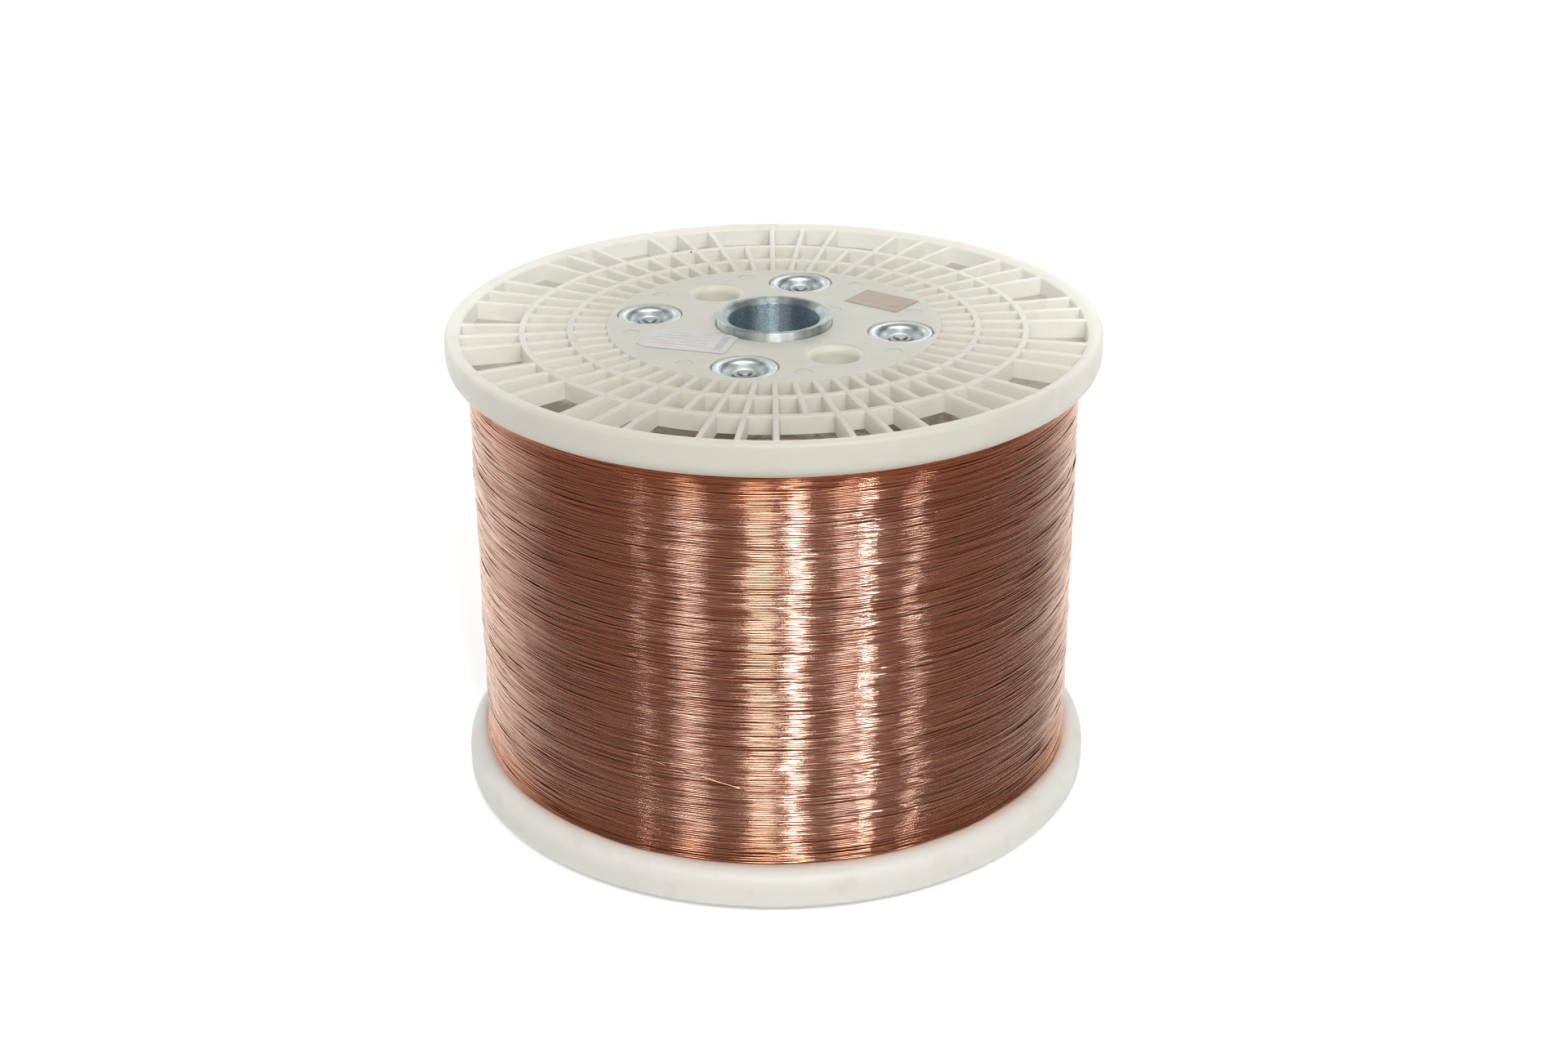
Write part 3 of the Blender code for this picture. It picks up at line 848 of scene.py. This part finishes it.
def product(tree, first, *others):
    for other in others:
        first = math(tree, "MULTIPLY", first, other)
    return first


def between(tree, value, middle, reach):
    """1 where a value lies within reach of the middle, else 0."""
    made = math(tree, "COMPARE", value, middle)
    made.node.inputs[2].default_value = reach
    return made


def ramp(tree, value, start, end, low=0.0, high=1.0):
    """Runs from low to high while a value runs from start to end, and stays level past them."""
    return node(tree, "ShaderNodeMapRange", {
        "Value": value, "From Min": start, "From Max": end, "To Min": low, "To Max": high,
    }).outputs["Result"]


def split(tree, vector):
    return node(tree, "ShaderNodeSeparateXYZ", {0: vector}).outputs


def stretched(tree, place, scale):
    return node(tree, "ShaderNodeMapping", {"Vector": place, "Scale": scale}).outputs[0]


def normal(tree):
    return split(tree, node(tree, "ShaderNodeNewGeometry").outputs["Normal"])


def from_axis(tree, spot):
    """Distance of a point from the spool's axis."""
    flat = node(tree, "ShaderNodeCombineXYZ", {"X": spot["X"], "Y": spot["Y"]}).outputs[0]
    return node(tree, "ShaderNodeVectorMath", {0: flat}, operation="LENGTH").outputs["Value"]


def apart(tree, radius, turn, circle, angle):
    """Distance of a point at this radius and turn from a point on a circle."""
    half = math(tree, "MULTIPLY", math(tree, "SUBTRACT", turn, angle), 0.5)
    chord = math(tree, "MULTIPLY", math(tree, "SINE", half), 2.0)
    across = product(tree, chord, chord, math(tree, "MULTIPLY", radius, circle))
    along = math(tree, "SUBTRACT", radius, circle)
    return math(tree, "SQRT", math(tree, "ADD", product(tree, along, along), across))


def mixed(tree, share, first, second):
    """Mixes two colours, each of them a socket or its red, green and blue."""
    made = node(tree, "ShaderNodeMix", data_type="RGBA")
    sockets = {socket.identifier: socket for socket in (*made.inputs, *made.outputs)}
    for name, value in (("Factor_Float", share), ("A_Color", first), ("B_Color", second)):
        if isinstance(value, bpy.types.NodeSocket):
            tree.links.new(value, sockets[name])
        else:
            sockets[name].default_value = (*value, 1)
    return sockets["Result_Color"]


def layered(tree, colour, *layers):
    """Lays colours over one another, each with the share that it covers."""
    for share, cover in layers:
        colour = mixed(tree, share, colour, cover)
    return colour


def group(name, values, output):
    """An empty shader group for a vector and these values, with its own inputs and outputs."""
    tree = bpy.data.node_groups.new(name, "ShaderNodeTree")
    tree.interface.new_socket("Vector", in_out="INPUT", socket_type="NodeSocketVector")
    for label, value in values.items():
        socket = tree.interface.new_socket(label, in_out="INPUT", socket_type="NodeSocketFloat")
        socket.default_value = value
    tree.interface.new_socket(output, in_out="OUTPUT", socket_type="NodeSocketFloat")
    return tree, tree.nodes.new("NodeGroupInput").outputs, tree.nodes.new("NodeGroupOutput").inputs


def mottle_group():
    """Soft cloudy variation between a low and a high value."""
    tree, given, out = group("mottle", {"Scale": 20.0, "Low": 0.0, "High": 1.0}, "Value")
    cloud = node(tree, "ShaderNodeTexNoise", {
        "Vector": given["Vector"], "Scale": given["Scale"], "Detail": CLOUD_DETAIL,
    })
    spread = ramp(tree, cloud.outputs["Fac"], *CLOUD_RANGE, given["Low"], given["High"])
    tree.links.new(spread, out["Value"])
    return tree


def speck_group():
    """Scattered small dark spots: a few of the cells of a fine pattern hold one."""
    tree, given, out = group("specks", {"Scale": 60.0, "Share": 0.05, "Size": 0.06}, "Mask")
    cells = node(tree, "ShaderNodeTexVoronoi", {"Vector": given["Vector"], "Scale": given["Scale"]})
    chance = node(tree, "ShaderNodeSeparateColor", {"Color": cells.outputs["Color"]}).outputs
    size = math(tree, "MULTIPLY", chance["Green"], given["Size"])
    inside = math(tree, "LESS_THAN", cells.outputs["Distance"], size)
    chosen = math(tree, "LESS_THAN", chance["Red"], given["Share"])
    tree.links.new(math(tree, "MULTIPLY", inside, chosen), out["Mask"])
    return tree


def grouped(tree, kind, place, **values):
    """A shader group placed in a material with its own values."""
    return node(tree, "ShaderNodeGroup", {"Vector": place, **values}, node_tree=kind).outputs[0]


def bump(tree, height, strength, distance):
    made = node(tree, "ShaderNodeBump", {"Height": height, "Strength": strength, "Distance": distance})
    return made.outputs["Normal"]


def finish_base(name):
    finish = bpy.data.materials.new(name)
    finish.use_nodes = True
    tree = finish.node_tree
    shader = tree.nodes["Principled BSDF"]
    place = node(tree, "ShaderNodeTexCoord").outputs["Object"]
    return finish, tree, shader, place


# Plastic

IVORY = ((0.83, 0.822, 0.755), (0.81, 0.797, 0.717))
# Painted shade: the lower flange, the same moulding as the upper one, is toned darker
IVORY_LOWER_SHADE = (0.745, 0.738, 0.70)
# Painted shade: the disc and the inner cells are toned darker than the rim
IVORY_INWARD_SHADE = (0.55, 0.542, 0.476)
# Painted shade on the front of the upper flange
IVORY_FRONT_SHADE = (0.45, 0.44, 0.385)
# Painted light and shade on the cell walls: tones of their own, paler outwards, darker inwards
IVORY_WALL_SHADING = ((0.80, 0.80, 0.755), (0.67, 0.665, 0.61))
# Painted shade on the cell walls in front
IVORY_FRONT_WALL_SHADE = (0.60, 0.58, 0.505)
# Painted light and shade on the cell floors: one warm tone for all of them
IVORY_FLOOR_SHADING = (0.74, 0.725, 0.645)
# Painted light inside the drive holes
IVORY_HOLE_LIGHT = (0.68, 0.665, 0.585)
# Painted light: the wire's colour thrown onto the flanges beside the winding
COPPER_BOUNCE_LIGHT = (0.86, 0.50, 0.36)
# Dust on the cell floors, with painted shade that makes it thickest in front
DUST_AND_SHADE = (0.09, 0.062, 0.037)
MARK_LINE = (0.40, 0.37, 0.30)
SCUFF = (0.50, 0.45, 0.35)
DIRT = (0.03, 0.025, 0.02)
GREY_PLASTIC = ((0.36, 0.36, 0.35), (0.30, 0.30, 0.29))
LEVEL_NORMAL = 0.6
INWARD_START = 0.95
FRONT_RANGE = (-0.15, 0.0)
GLOW_REACH = 0.006
GLOW_MARGIN = 0.002
GLOW_SHARE = 0.75
FRONT_SHADE_SHARE = 0.62
FRONT_SHADE_RING_SHARE = 0.26
FRONT_WALL_SHADE_SHARE = 0.6
FLOOR_SHADING_SHARE = 0.8
DUST_SHARE = 0.35
DUST_AND_SHADE_FRONT_SHARE = 0.65
HOLE_MARGIN = 0.0006
MARK_LINE_REACH = 0.00025
SCUFF_SHARE = 0.3


def flange_spots(tree, place):
    """Where on a flange a point lies: its radius, turn and height, and how far it is in which part."""
    spot = split(tree, place)
    height = spot["Z"]
    radius = from_axis(tree, spot)
    turn = math(tree, "SUBTRACT", math(tree, "ARCTAN2", spot["Y"], spot["X"]), ROD_TURN)
    up = normal(tree)["Z"]
    upright = math(tree, "LESS_THAN", math(tree, "ABSOLUTE", up), LEVEL_NORMAL)
    level = math(tree, "GREATER_THAN", up, LEVEL_NORMAL)
    in_ring = between(tree, radius, (DISC_RADIUS + CELLS_EDGE) / 2, (CELLS_EDGE - DISC_RADIUS) / 2)
    below_ribs = math(tree, "LESS_THAN", height, UPPER_FACE + RIB_TOP - CELL_DEPTH / 2)
    above_web = math(tree, "GREATER_THAN", height, UPPER_FACE)
    return SimpleNamespace(
        radius=radius,
        turn=math(tree, "PINGPONG", turn, pi / ROD_COUNT),
        height=height,
        lower=math(tree, "LESS_THAN", height, MIDDLE),
        front=ramp(tree, spot["Y"], *FRONT_RANGE, 1.0, 0.0),
        inward=ramp(tree, radius, DISC_RADIUS * INWARD_START, CELLS_EDGE, 1.0, 0.0),
        in_ring=in_ring,
        wall=product(tree, in_ring, upright),
        floor=product(tree, level, below_ribs, above_web, in_ring),
    )


def painted_copper_bounce(tree, spots):
    """Painted light: the colour that the wire throws onto the inner faces of the flanges, close to the
    winding.
    """
    near = ramp(tree, spots.radius, WINDING_RADIUS, WINDING_RADIUS + GLOW_REACH, GLOW_SHARE, 0.0)
    middle = (LOWER_FACE + UPPER_FACE) / 2
    inside = between(tree, spots.height, middle, (UPPER_FACE - LOWER_FACE) / 2 + GLOW_MARGIN)
    return product(tree, near, inside)


def front_shade(tree, spots):
    """Painted shade on the front of the upper flange, more on its ribs than on its rim and disc."""
    share = math(tree, "ADD", math(tree, "MULTIPLY", spots.in_ring, FRONT_SHADE_RING_SHARE), FRONT_SHADE_SHARE)
    return product(tree, spots.front, share, math(tree, "SUBTRACT", 1.0, spots.lower))


def cell_dust_and_shade(tree, mottle, place, spots):
    """Dust and painted shade on the floors of the cells, in drifts, thickest at the front."""
    drifts = grouped(tree, mottle, place, Scale=22.0, Low=0.7, High=1.6)
    grains = grouped(tree, mottle, place, Scale=240.0, Low=0.72, High=1.0)
    thickness = math(tree, "MULTIPLY", drifts, grains, clamp=True)
    nearness = math(tree, "ADD", math(tree, "MULTIPLY", spots.front, DUST_AND_SHADE_FRONT_SHARE), DUST_SHARE)
    return product(tree, spots.floor, thickness, nearness)


def lit_hole_walls(tree, spots):
    """The inside of the drive holes, toned lighter than the disc around them: painted light."""
    away = apart(tree, spots.radius, spots.turn, DRIVE_HOLE_CIRCLE, pi / ROD_COUNT)
    in_hole = math(tree, "LESS_THAN", away, DRIVE_HOLE_RADIUS + DRIVE_FUNNEL)
    sunk = between(tree, spots.height, MIDDLE, UPPER_FACE + RIB_TOP - MIDDLE - HOLE_MARGIN)
    return product(tree, in_hole, sunk)


def ejector_lines(tree, mottle, place, spots):
    """Broken lines round the marks of the ejector pins."""
    lines = 0.0
    for circle, turns in EJECTOR_CIRCLES:
        away = apart(tree, spots.radius, spots.turn, circle, radians(turns[-1]))
        lines = math(tree, "ADD", between(tree, away, EJECTOR_RADIUS, MARK_LINE_REACH), lines)
    broken = grouped(tree, mottle, place, Scale=70.0, Low=-0.1, High=0.8)
    return math(tree, "MULTIPLY", lines, broken, clamp=True)


def ivory_plastic(mottle, specks):
    """Moulded plastic: palest on the rims, with painted shade inwards, in front, on the lower flange and
    in the cells, painted light in the drive holes and from the wire, and dust on the cell floors.
    """
    finish, tree, shader, place = finish_base("ivory_plastic")
    spots = flange_spots(tree, place)
    scuffs = grouped(tree, mottle, place, Scale=48.0, Low=-0.9, High=0.55)
    # Painted light and shade on the cell walls, darker inwards and darker still in front
    wall = layered(
        tree, mixed(tree, spots.inward, *IVORY_WALL_SHADING),
        (product(tree, spots.front, FRONT_WALL_SHADE_SHARE), IVORY_FRONT_WALL_SHADE),
    )
    colour = layered(
        tree, mixed(tree, grouped(tree, mottle, place, Scale=14.0), *IVORY),
        # painted shade on the lower flange
        (spots.lower, IVORY_LOWER_SHADE),
        (painted_copper_bounce(tree, spots), COPPER_BOUNCE_LIGHT),
        # painted shade inwards
        (spots.inward, IVORY_INWARD_SHADE),
        (front_shade(tree, spots), IVORY_FRONT_SHADE),
        (spots.wall, wall),
        # painted light and shade on the cell floors
        (product(tree, spots.floor, FLOOR_SHADING_SHARE), IVORY_FLOOR_SHADING),
        (cell_dust_and_shade(tree, mottle, place, spots), DUST_AND_SHADE),
        (lit_hole_walls(tree, spots), IVORY_HOLE_LIGHT),
        (ejector_lines(tree, mottle, place, spots), MARK_LINE),
        (math(tree, "MULTIPLY", scuffs, SCUFF_SHARE, clamp=True), SCUFF),
        (grouped(tree, specks, place, Scale=55.0, Share=0.05, Size=0.12), DIRT),
    )
    give(tree, shader, {
        "Base Color": colour,
        "Roughness": grouped(tree, mottle, place, Scale=60.0, Low=0.34, High=0.52),
        "Normal": bump(tree, grouped(tree, mottle, place, Scale=260.0), strength=0.12, distance=0.0004),
        "IOR": 1.46,
        "Subsurface Weight": 0.6,
        "Subsurface Radius": (1.0, 0.85, 0.65),
        "Subsurface Scale": 0.007,
    })
    return finish


def grey_plastic(mottle):
    finish, tree, shader, place = finish_base("grey_plastic")
    give(tree, shader, {
        "Base Color": mixed(tree, grouped(tree, mottle, place, Scale=30.0), *GREY_PLASTIC),
        "Roughness": grouped(tree, mottle, place, Scale=80.0, Low=0.5, High=0.65),
    })
    return finish


# Metal

ZINC = ((0.71, 0.755, 0.755), (0.60, 0.645, 0.645))
ZINC_ROUGHNESS = (0.36, 0.48)
NUT_STEEL = ((0.50, 0.52, 0.51), (0.34, 0.36, 0.355))
NUT_ROUGHNESS = (0.30, 0.46)
ROD_STEEL = ((0.50, 0.51, 0.505), (0.36, 0.37, 0.37))
ROD_ROUGHNESS = (0.32, 0.48)
METAL_SCALE = 120.0
METAL_SMEAR_RATIO = 2.3
TUBE_ENDS = ((0.54, 0.59, 0.575), (0.39, 0.44, 0.425))
TUBE_WALL = ((0.80, 0.86, 0.845), (0.59, 0.65, 0.64))
TUBE_INSIDE = ((0.50, 0.615, 0.665), (0.21, 0.302, 0.35))
TUBE_ROUGHNESS = (0.34, 0.52)
TUBE_SCALE = 150.0
TUBE_SHEEN = 0.95
TUBE_SHEEN_TURN = 0.25
INSIDE_GRAIN = (1100.0, 1100.0, 1200.0)
INSIDE_ROUGHER = 0.04
INSIDE_DULLER = 0.1
WALL_RUNS = (260.0, 260.0, 40.0)
PIT = (0.22, 0.26, 0.255)
PIT_SHARE = 0.6
# Painted light and shade: the bright colour is the wire's lit upper side, the dull one its shade below and
# between the turns and its worn stretches
COPPER = {"bright": (0.95, 0.69, 0.545), "dull": (0.23, 0.064, 0.029), "edge": (0.90, 0.40, 0.21)}
COPPER_ROUGHNESS = (0.10, 0.17)
# Painted shade: the layers under the outer turns, the same copper, toned much darker
UNDER_COPPER_SHADE = {"bright": (0.36, 0.14, 0.08), "dull": (0.28, 0.10, 0.055), "edge": (0.40, 0.14, 0.07)}
UNDER_COPPER_ROUGHNESS = (0.35, 0.5)
COPPER_GRAIN = (9.0, 9.0, 700.0)
COPPER_LIT_NORMALS = (0.20, 0.36)
COPPER_EDGE_HEIGHT = 0.030
COPPER_EDGE_SHARE = 0.8


def metal(name, colours, rough, mottle, scale=METAL_SCALE):
    """Metal that varies between a bright and a dull tint, and between a smooth and a rough face."""
    finish, tree, shader, place = finish_base(name)
    smear = scale * METAL_SMEAR_RATIO
    give(tree, shader, {
        "Base Color": mixed(tree, grouped(tree, mottle, place, Scale=scale), *colours),
        "Roughness": grouped(tree, mottle, place, Scale=smear, Low=rough[0], High=rough[1]),
        "Metallic": 1.0,
    })
    return finish, tree, shader, place


def galvanised_steel(mottle, specks):
    """Zinc-coated tube: pale and pitted outside, greyer on its end faces, dull and blue in the bore."""
    finish, tree, shader, place = metal("galvanised_steel", TUBE_ENDS, TUBE_ROUGHNESS, mottle, TUBE_SCALE)
    end_colour = shader.inputs["Base Color"].links[0].from_socket
    end_rough = shader.inputs["Roughness"].links[0].from_socket
    radius = from_axis(tree, split(tree, place))
    inside = math(tree, "LESS_THAN", radius, TUBE_BORE + TUBE_EDGE)
    outside = math(tree, "GREATER_THAN", radius, TUBE_RADIUS - TUBE_EDGE / 2)
    grain = grouped(tree, mottle, stretched(tree, place, INSIDE_GRAIN), Scale=1.0)
    runs = grouped(tree, mottle, stretched(tree, place, WALL_RUNS), Scale=1.0)
    pits = grouped(tree, specks, place, Scale=900.0, Share=0.14, Size=0.45)
    colour = layered(
        tree, end_colour,
        (outside, mixed(tree, runs, *TUBE_WALL)),
        (math(tree, "MULTIPLY", pits, PIT_SHARE), PIT),
        (inside, mixed(tree, grain, *TUBE_INSIDE)),
    )
    give(tree, shader, {
        "Base Color": colour,
        "Roughness": math(tree, "ADD", end_rough, math(tree, "MULTIPLY", inside, INSIDE_ROUGHER)),
        "Metallic": math(tree, "SUBTRACT", 1.0, math(tree, "MULTIPLY", inside, INSIDE_DULLER)),
        "Normal": bump(tree, grain, strength=0.12, distance=0.0003),
        "Anisotropic": TUBE_SHEEN,
        "Anisotropic Rotation": TUBE_SHEEN_TURN,
    })
    return finish


def copper(name, colours, rough, mottle):
    """Drawn wire: painted light on its upper side, painted shade below and between the turns, duller in
    worn stretches, redder near the flanges.
    """
    finish, tree, shader, place = finish_base(name)
    along = stretched(tree, place, COPPER_GRAIN)
    # Painted light on the upper side of each wire, found by its normal
    lit_top = ramp(tree, normal(tree)["Z"], *COPPER_LIT_NORMALS)
    worn = grouped(tree, mottle, along, Scale=1.0, Low=0.4, High=1.0)
    middle = (LOWER_FACE + UPPER_FACE) / 2
    reach = UPPER_FACE - middle
    height = math(tree, "ABSOLUTE", math(tree, "SUBTRACT", split(tree, place)["Z"], middle))
    near_edge = ramp(tree, height, reach - COPPER_EDGE_HEIGHT, reach, 0.0, COPPER_EDGE_SHARE)
    bright = mixed(tree, near_edge, colours["bright"], colours["edge"])
    give(tree, shader, {
        "Base Color": mixed(tree, math(tree, "MULTIPLY", lit_top, worn), colours["dull"], bright),
        "Roughness": grouped(tree, mottle, along, Scale=1.7, Low=rough[0], High=rough[1]),
        "Metallic": 1.0,
    })
    return finish


# Printed paper

WHITE_PAPER = ((0.60, 0.598, 0.59), (0.54, 0.535, 0.525))
PINK_PAPER = ((0.43, 0.345, 0.275), (0.46, 0.41, 0.34))
GREY_INK = (0.24, 0.23, 0.25)
RED_INK = (0.55, 0.20, 0.16)
BROWN_INK = (0.36, 0.20, 0.15)
# Rows of bars: their middle, their half size, the spacing and thickness of the bars, and the ink
LABEL_MARKS = (
    ((-0.004, 0.002), (0.017, 0.0098), (0.0049, 0.0006), GREY_INK),
    ((-0.004, -0.0078), (0.017, 0.0008), (0.004, 0.0007), RED_INK),
    ((0.0215, 0.0), (0.0025, 0.0125), (0.0026, 0.0013), GREY_INK),
)
TAG_MARKS = (
    ((0.0, 0.0055), (0.014, 0.0008), (0.004, 0.0007), BROWN_INK),
    ((0.0, -0.0055), (0.014, 0.0008), (0.004, 0.0007), BROWN_INK),
)


def paper_finish(name, colours, mottle, middle, turn, marks):
    """Paper with plain printed bars that are set out from the middle of the sheet."""
    finish, tree, shader, place = finish_base(name)
    sheet = mixed(tree, grouped(tree, mottle, place, Scale=90.0), *colours)
    own = split(tree, node(tree, "ShaderNodeMapping", {
        "Vector": place, "Location": (*middle, 0), "Rotation": (0, 0, turn),
    }, vector_type="TEXTURE").outputs[0])
    faded = grouped(tree, mottle, place, Scale=160.0, Low=0.35, High=0.9)
    for (x, y), (wide, high), (spacing, bar), ink in marks:
        inside = product(tree, between(tree, own["X"], x, wide), between(tree, own["Y"], y, high))
        step = math(tree, "PINGPONG", math(tree, "SUBTRACT", own["Y"], y), spacing / 2)
        row = math(tree, "LESS_THAN", step, bar / 2)
        sheet = mixed(tree, product(tree, inside, row, faded), sheet, ink)
    give(tree, shader, {
        "Base Color": sheet,
        "Roughness": grouped(tree, mottle, place, Scale=300.0, Low=0.62, High=0.85),
        "Normal": bump(tree, grouped(tree, mottle, place, Scale=900.0), strength=0.2, distance=0.0002),
    })
    return finish


# Stage, light and camera

CAMERA_PLACE = (0.0, -1.3473, 0.7708)
CAMERA_TARGET = (0.0, 0.0, 0.150)
CAMERA_LENS = 53.505
CAMERA_SENSOR = 36.0
CAMERA_YAW = radians(0.218)
CAMERA_PITCH = radians(0.3716)
CAMERA_ROLL = radians(-0.35)
LAMP_DISTANCE = 2.48
LAMP_RISE = 40
FILL_RISE = 28
FILL_SIZE = (1.4, 1.4)
WHITE = (1, 1, 1)
WARM_WHITE = (1.0, 0.97, 0.88)
# Lamps: name, degrees round the spool from the camera's side, width and height, power, colour
LAMPS = (
    ("strip_right_near", 7.3, (0.155, 1.2), 16.5, WHITE),
    ("strip_right_far", 35.2, (0.05, 0.4), 9.5, WHITE),
    ("panel_right_far", 27.1, (0.15, 1.0), 5.0, WHITE),
    ("panel_left_near", -6.7, (0.37, 1.0), 11.5, WARM_WHITE),
    ("panel_left_far", -34.6, (0.25, 1.0), 6.4, WHITE),
    ("strip_right_side", 56, (0.10, 0.4), 3.4, WHITE),
    ("strip_left_side", -54.4, (0.07, 0.4), 1.2, WHITE),
    ("strip_back_left", -152, (0.10, 1.2), 3.5, WHITE),
    ("panel_back_right", 165, (0.34, 1.2), 5, WHITE),
)
FILLS = (("fill_left", -105, 9.6), ("fill_right", 105, 9.6), ("fill_back", 180, 5.5))
ROOM_LEAN = 0.20
FLOOR_SIZE = 60
FLOOR_TINT = (0.86, 0.86, 0.86)
# Ramps of the brightness of the room and the floor: from, to, and the levels there
ROOM_BEHIND = (0.20, 0.66, 0.05, 1.05)
ROOM_LOW = (0.45, 0.70, 1.0, 0.0)
ROOM_TOP = (0.5, 0.9, 0.0, 0.28)
FLOOR_GLOW = (0.4, 2.4, 0.36, 1.0)


def camera():
    data = bpy.data.cameras.new("camera")
    data.lens = CAMERA_LENS
    data.sensor_width = CAMERA_SENSOR
    piece = bpy.data.objects.new("camera", data)
    bpy.context.scene.collection.objects.link(piece)
    piece.location = CAMERA_PLACE
    aim = (Vector(CAMERA_TARGET) - Vector(CAMERA_PLACE)).to_track_quat("-Z", "Y").to_matrix()
    turn = Matrix.Rotation(-CAMERA_YAW, 3, "Y") @ Matrix.Rotation(CAMERA_PITCH, 3, "X")
    piece.rotation_euler = (aim @ turn @ Matrix.Rotation(CAMERA_ROLL, 3, "Z")).to_euler()
    bpy.context.scene.camera = piece


def softbox(name, turn, rise, size, power, colour):
    """A lamp panel round the spool, facing its middle; turn 0 is on the camera's side."""
    data = bpy.data.lights.new(name, "AREA")
    data.shape = "RECTANGLE"
    data.size, data.size_y = size
    data.energy = power
    data.color = colour
    piece = bpy.data.objects.new(name, data)
    bpy.context.scene.collection.objects.link(piece)
    turn, rise = radians(turn), radians(rise)
    way = Vector((sin(turn) * cos(rise), -cos(turn) * cos(rise), sin(rise)))
    piece.location = Vector((0, 0, MIDDLE)) + way * LAMP_DISTANCE
    piece.rotation_euler = (-way).to_track_quat("-Z", "Y").to_euler()
    piece.visible_camera = False
    return piece


def lamps():
    """Strips and panels that the wire mirrors as bands, and matt fill from the sides and the back."""
    for name, turn, size, power, colour in LAMPS:
        softbox(name, turn, LAMP_RISE, size, power, colour)
    for name, turn, power in FILLS:
        softbox(name, turn, FILL_RISE, FILL_SIZE, power, WHITE).visible_glossy = False


def world():
    """A dim room, bright behind and above the spool."""
    made = bpy.data.worlds.new("studio")
    bpy.context.scene.world = made
    made.use_nodes = True
    tree = made.node_tree
    tree.nodes.clear()
    way = split(tree, node(tree, "ShaderNodeTexCoord").outputs["Generated"])
    leaned = math(tree, "SUBTRACT", way["Y"], math(tree, "MULTIPLY", way["X"], ROOM_LEAN))
    behind = product(tree, ramp(tree, leaned, *ROOM_BEHIND), ramp(tree, way["Z"], *ROOM_LOW))
    level = math(tree, "MAXIMUM", behind, ramp(tree, way["Z"], *ROOM_TOP))
    room = node(tree, "ShaderNodeBackground", {"Color": (*WHITE, 1), "Strength": level})
    node(tree, "ShaderNodeOutputWorld", {"Surface": room.outputs[0]})


def floor():
    """A matt floor that keeps the shadow and looks white to the camera and in the metal."""
    bpy.ops.object.select_all(action="DESELECT")
    bpy.ops.mesh.primitive_plane_add(size=FLOOR_SIZE, location=(0, 0, TUBE_FOOT))
    piece = named(bpy.context.object, "floor")
    finish = bpy.data.materials.new("floor_white")
    finish.use_nodes = True
    tree = finish.node_tree
    tree.nodes.clear()
    matt = node(tree, "ShaderNodeBsdfDiffuse", {"Color": (*FLOOR_TINT, 1)})
    path = node(tree, "ShaderNodeLightPath").outputs
    seen = math(tree, "MAXIMUM", path["Is Camera Ray"], path["Is Glossy Ray"])
    seen = math(tree, "MAXIMUM", seen, path["Is Transmission Ray"])
    place = node(tree, "ShaderNodeTexCoord").outputs["Object"]
    away = node(tree, "ShaderNodeVectorMath", {0: place}, operation="LENGTH").outputs["Value"]
    strength = product(tree, seen, ramp(tree, away, *FLOOR_GLOW))
    glow = node(tree, "ShaderNodeEmission", {"Color": (*WHITE, 1), "Strength": strength})
    both = node(tree, "ShaderNodeAddShader", {0: matt.outputs[0], 1: glow.outputs[0]})
    node(tree, "ShaderNodeOutputMaterial", {"Surface": both.outputs[0]})
    piece.data.materials.append(finish)


def build():
    mottle = mottle_group()
    specks = speck_group()
    zinc = metal("zinc_plate", ZINC, ZINC_ROUGHNESS, mottle)[0]
    nut_steel = metal("nut_steel", NUT_STEEL, NUT_ROUGHNESS, mottle)[0]
    rod_steel = metal("rod_steel", ROD_STEEL, ROD_ROUGHNESS, mottle)[0]
    bare_copper = copper("bare_copper", COPPER, COPPER_ROUGHNESS, mottle)
    under_copper = copper("under_copper", UNDER_COPPER_SHADE, UNDER_COPPER_ROUGHNESS, mottle)
    white = paper_finish("white_paper", WHITE_PAPER, mottle, LABEL_PLACE, LABEL_TURN, LABEL_MARKS)
    pink = paper_finish("pink_paper", PINK_PAPER, mottle, TAG_PLACE, TAG_TURN, TAG_MARKS)
    flanges(ivory_plastic(mottle, specks))
    fasteners(zinc, nut_steel, rod_steel)
    arbor_tube(galvanised_steel(mottle, specks))
    winding(bare_copper, under_copper)
    labels(white, pink)
    barrel = frame["nodes"]["barrel"]
    barrel.data.materials.clear()
    barrel.data.materials.append(grey_plastic(mottle))


build()
floor()
world()
lamps()
camera()
bpy.context.scene.view_settings.view_transform = "Standard"
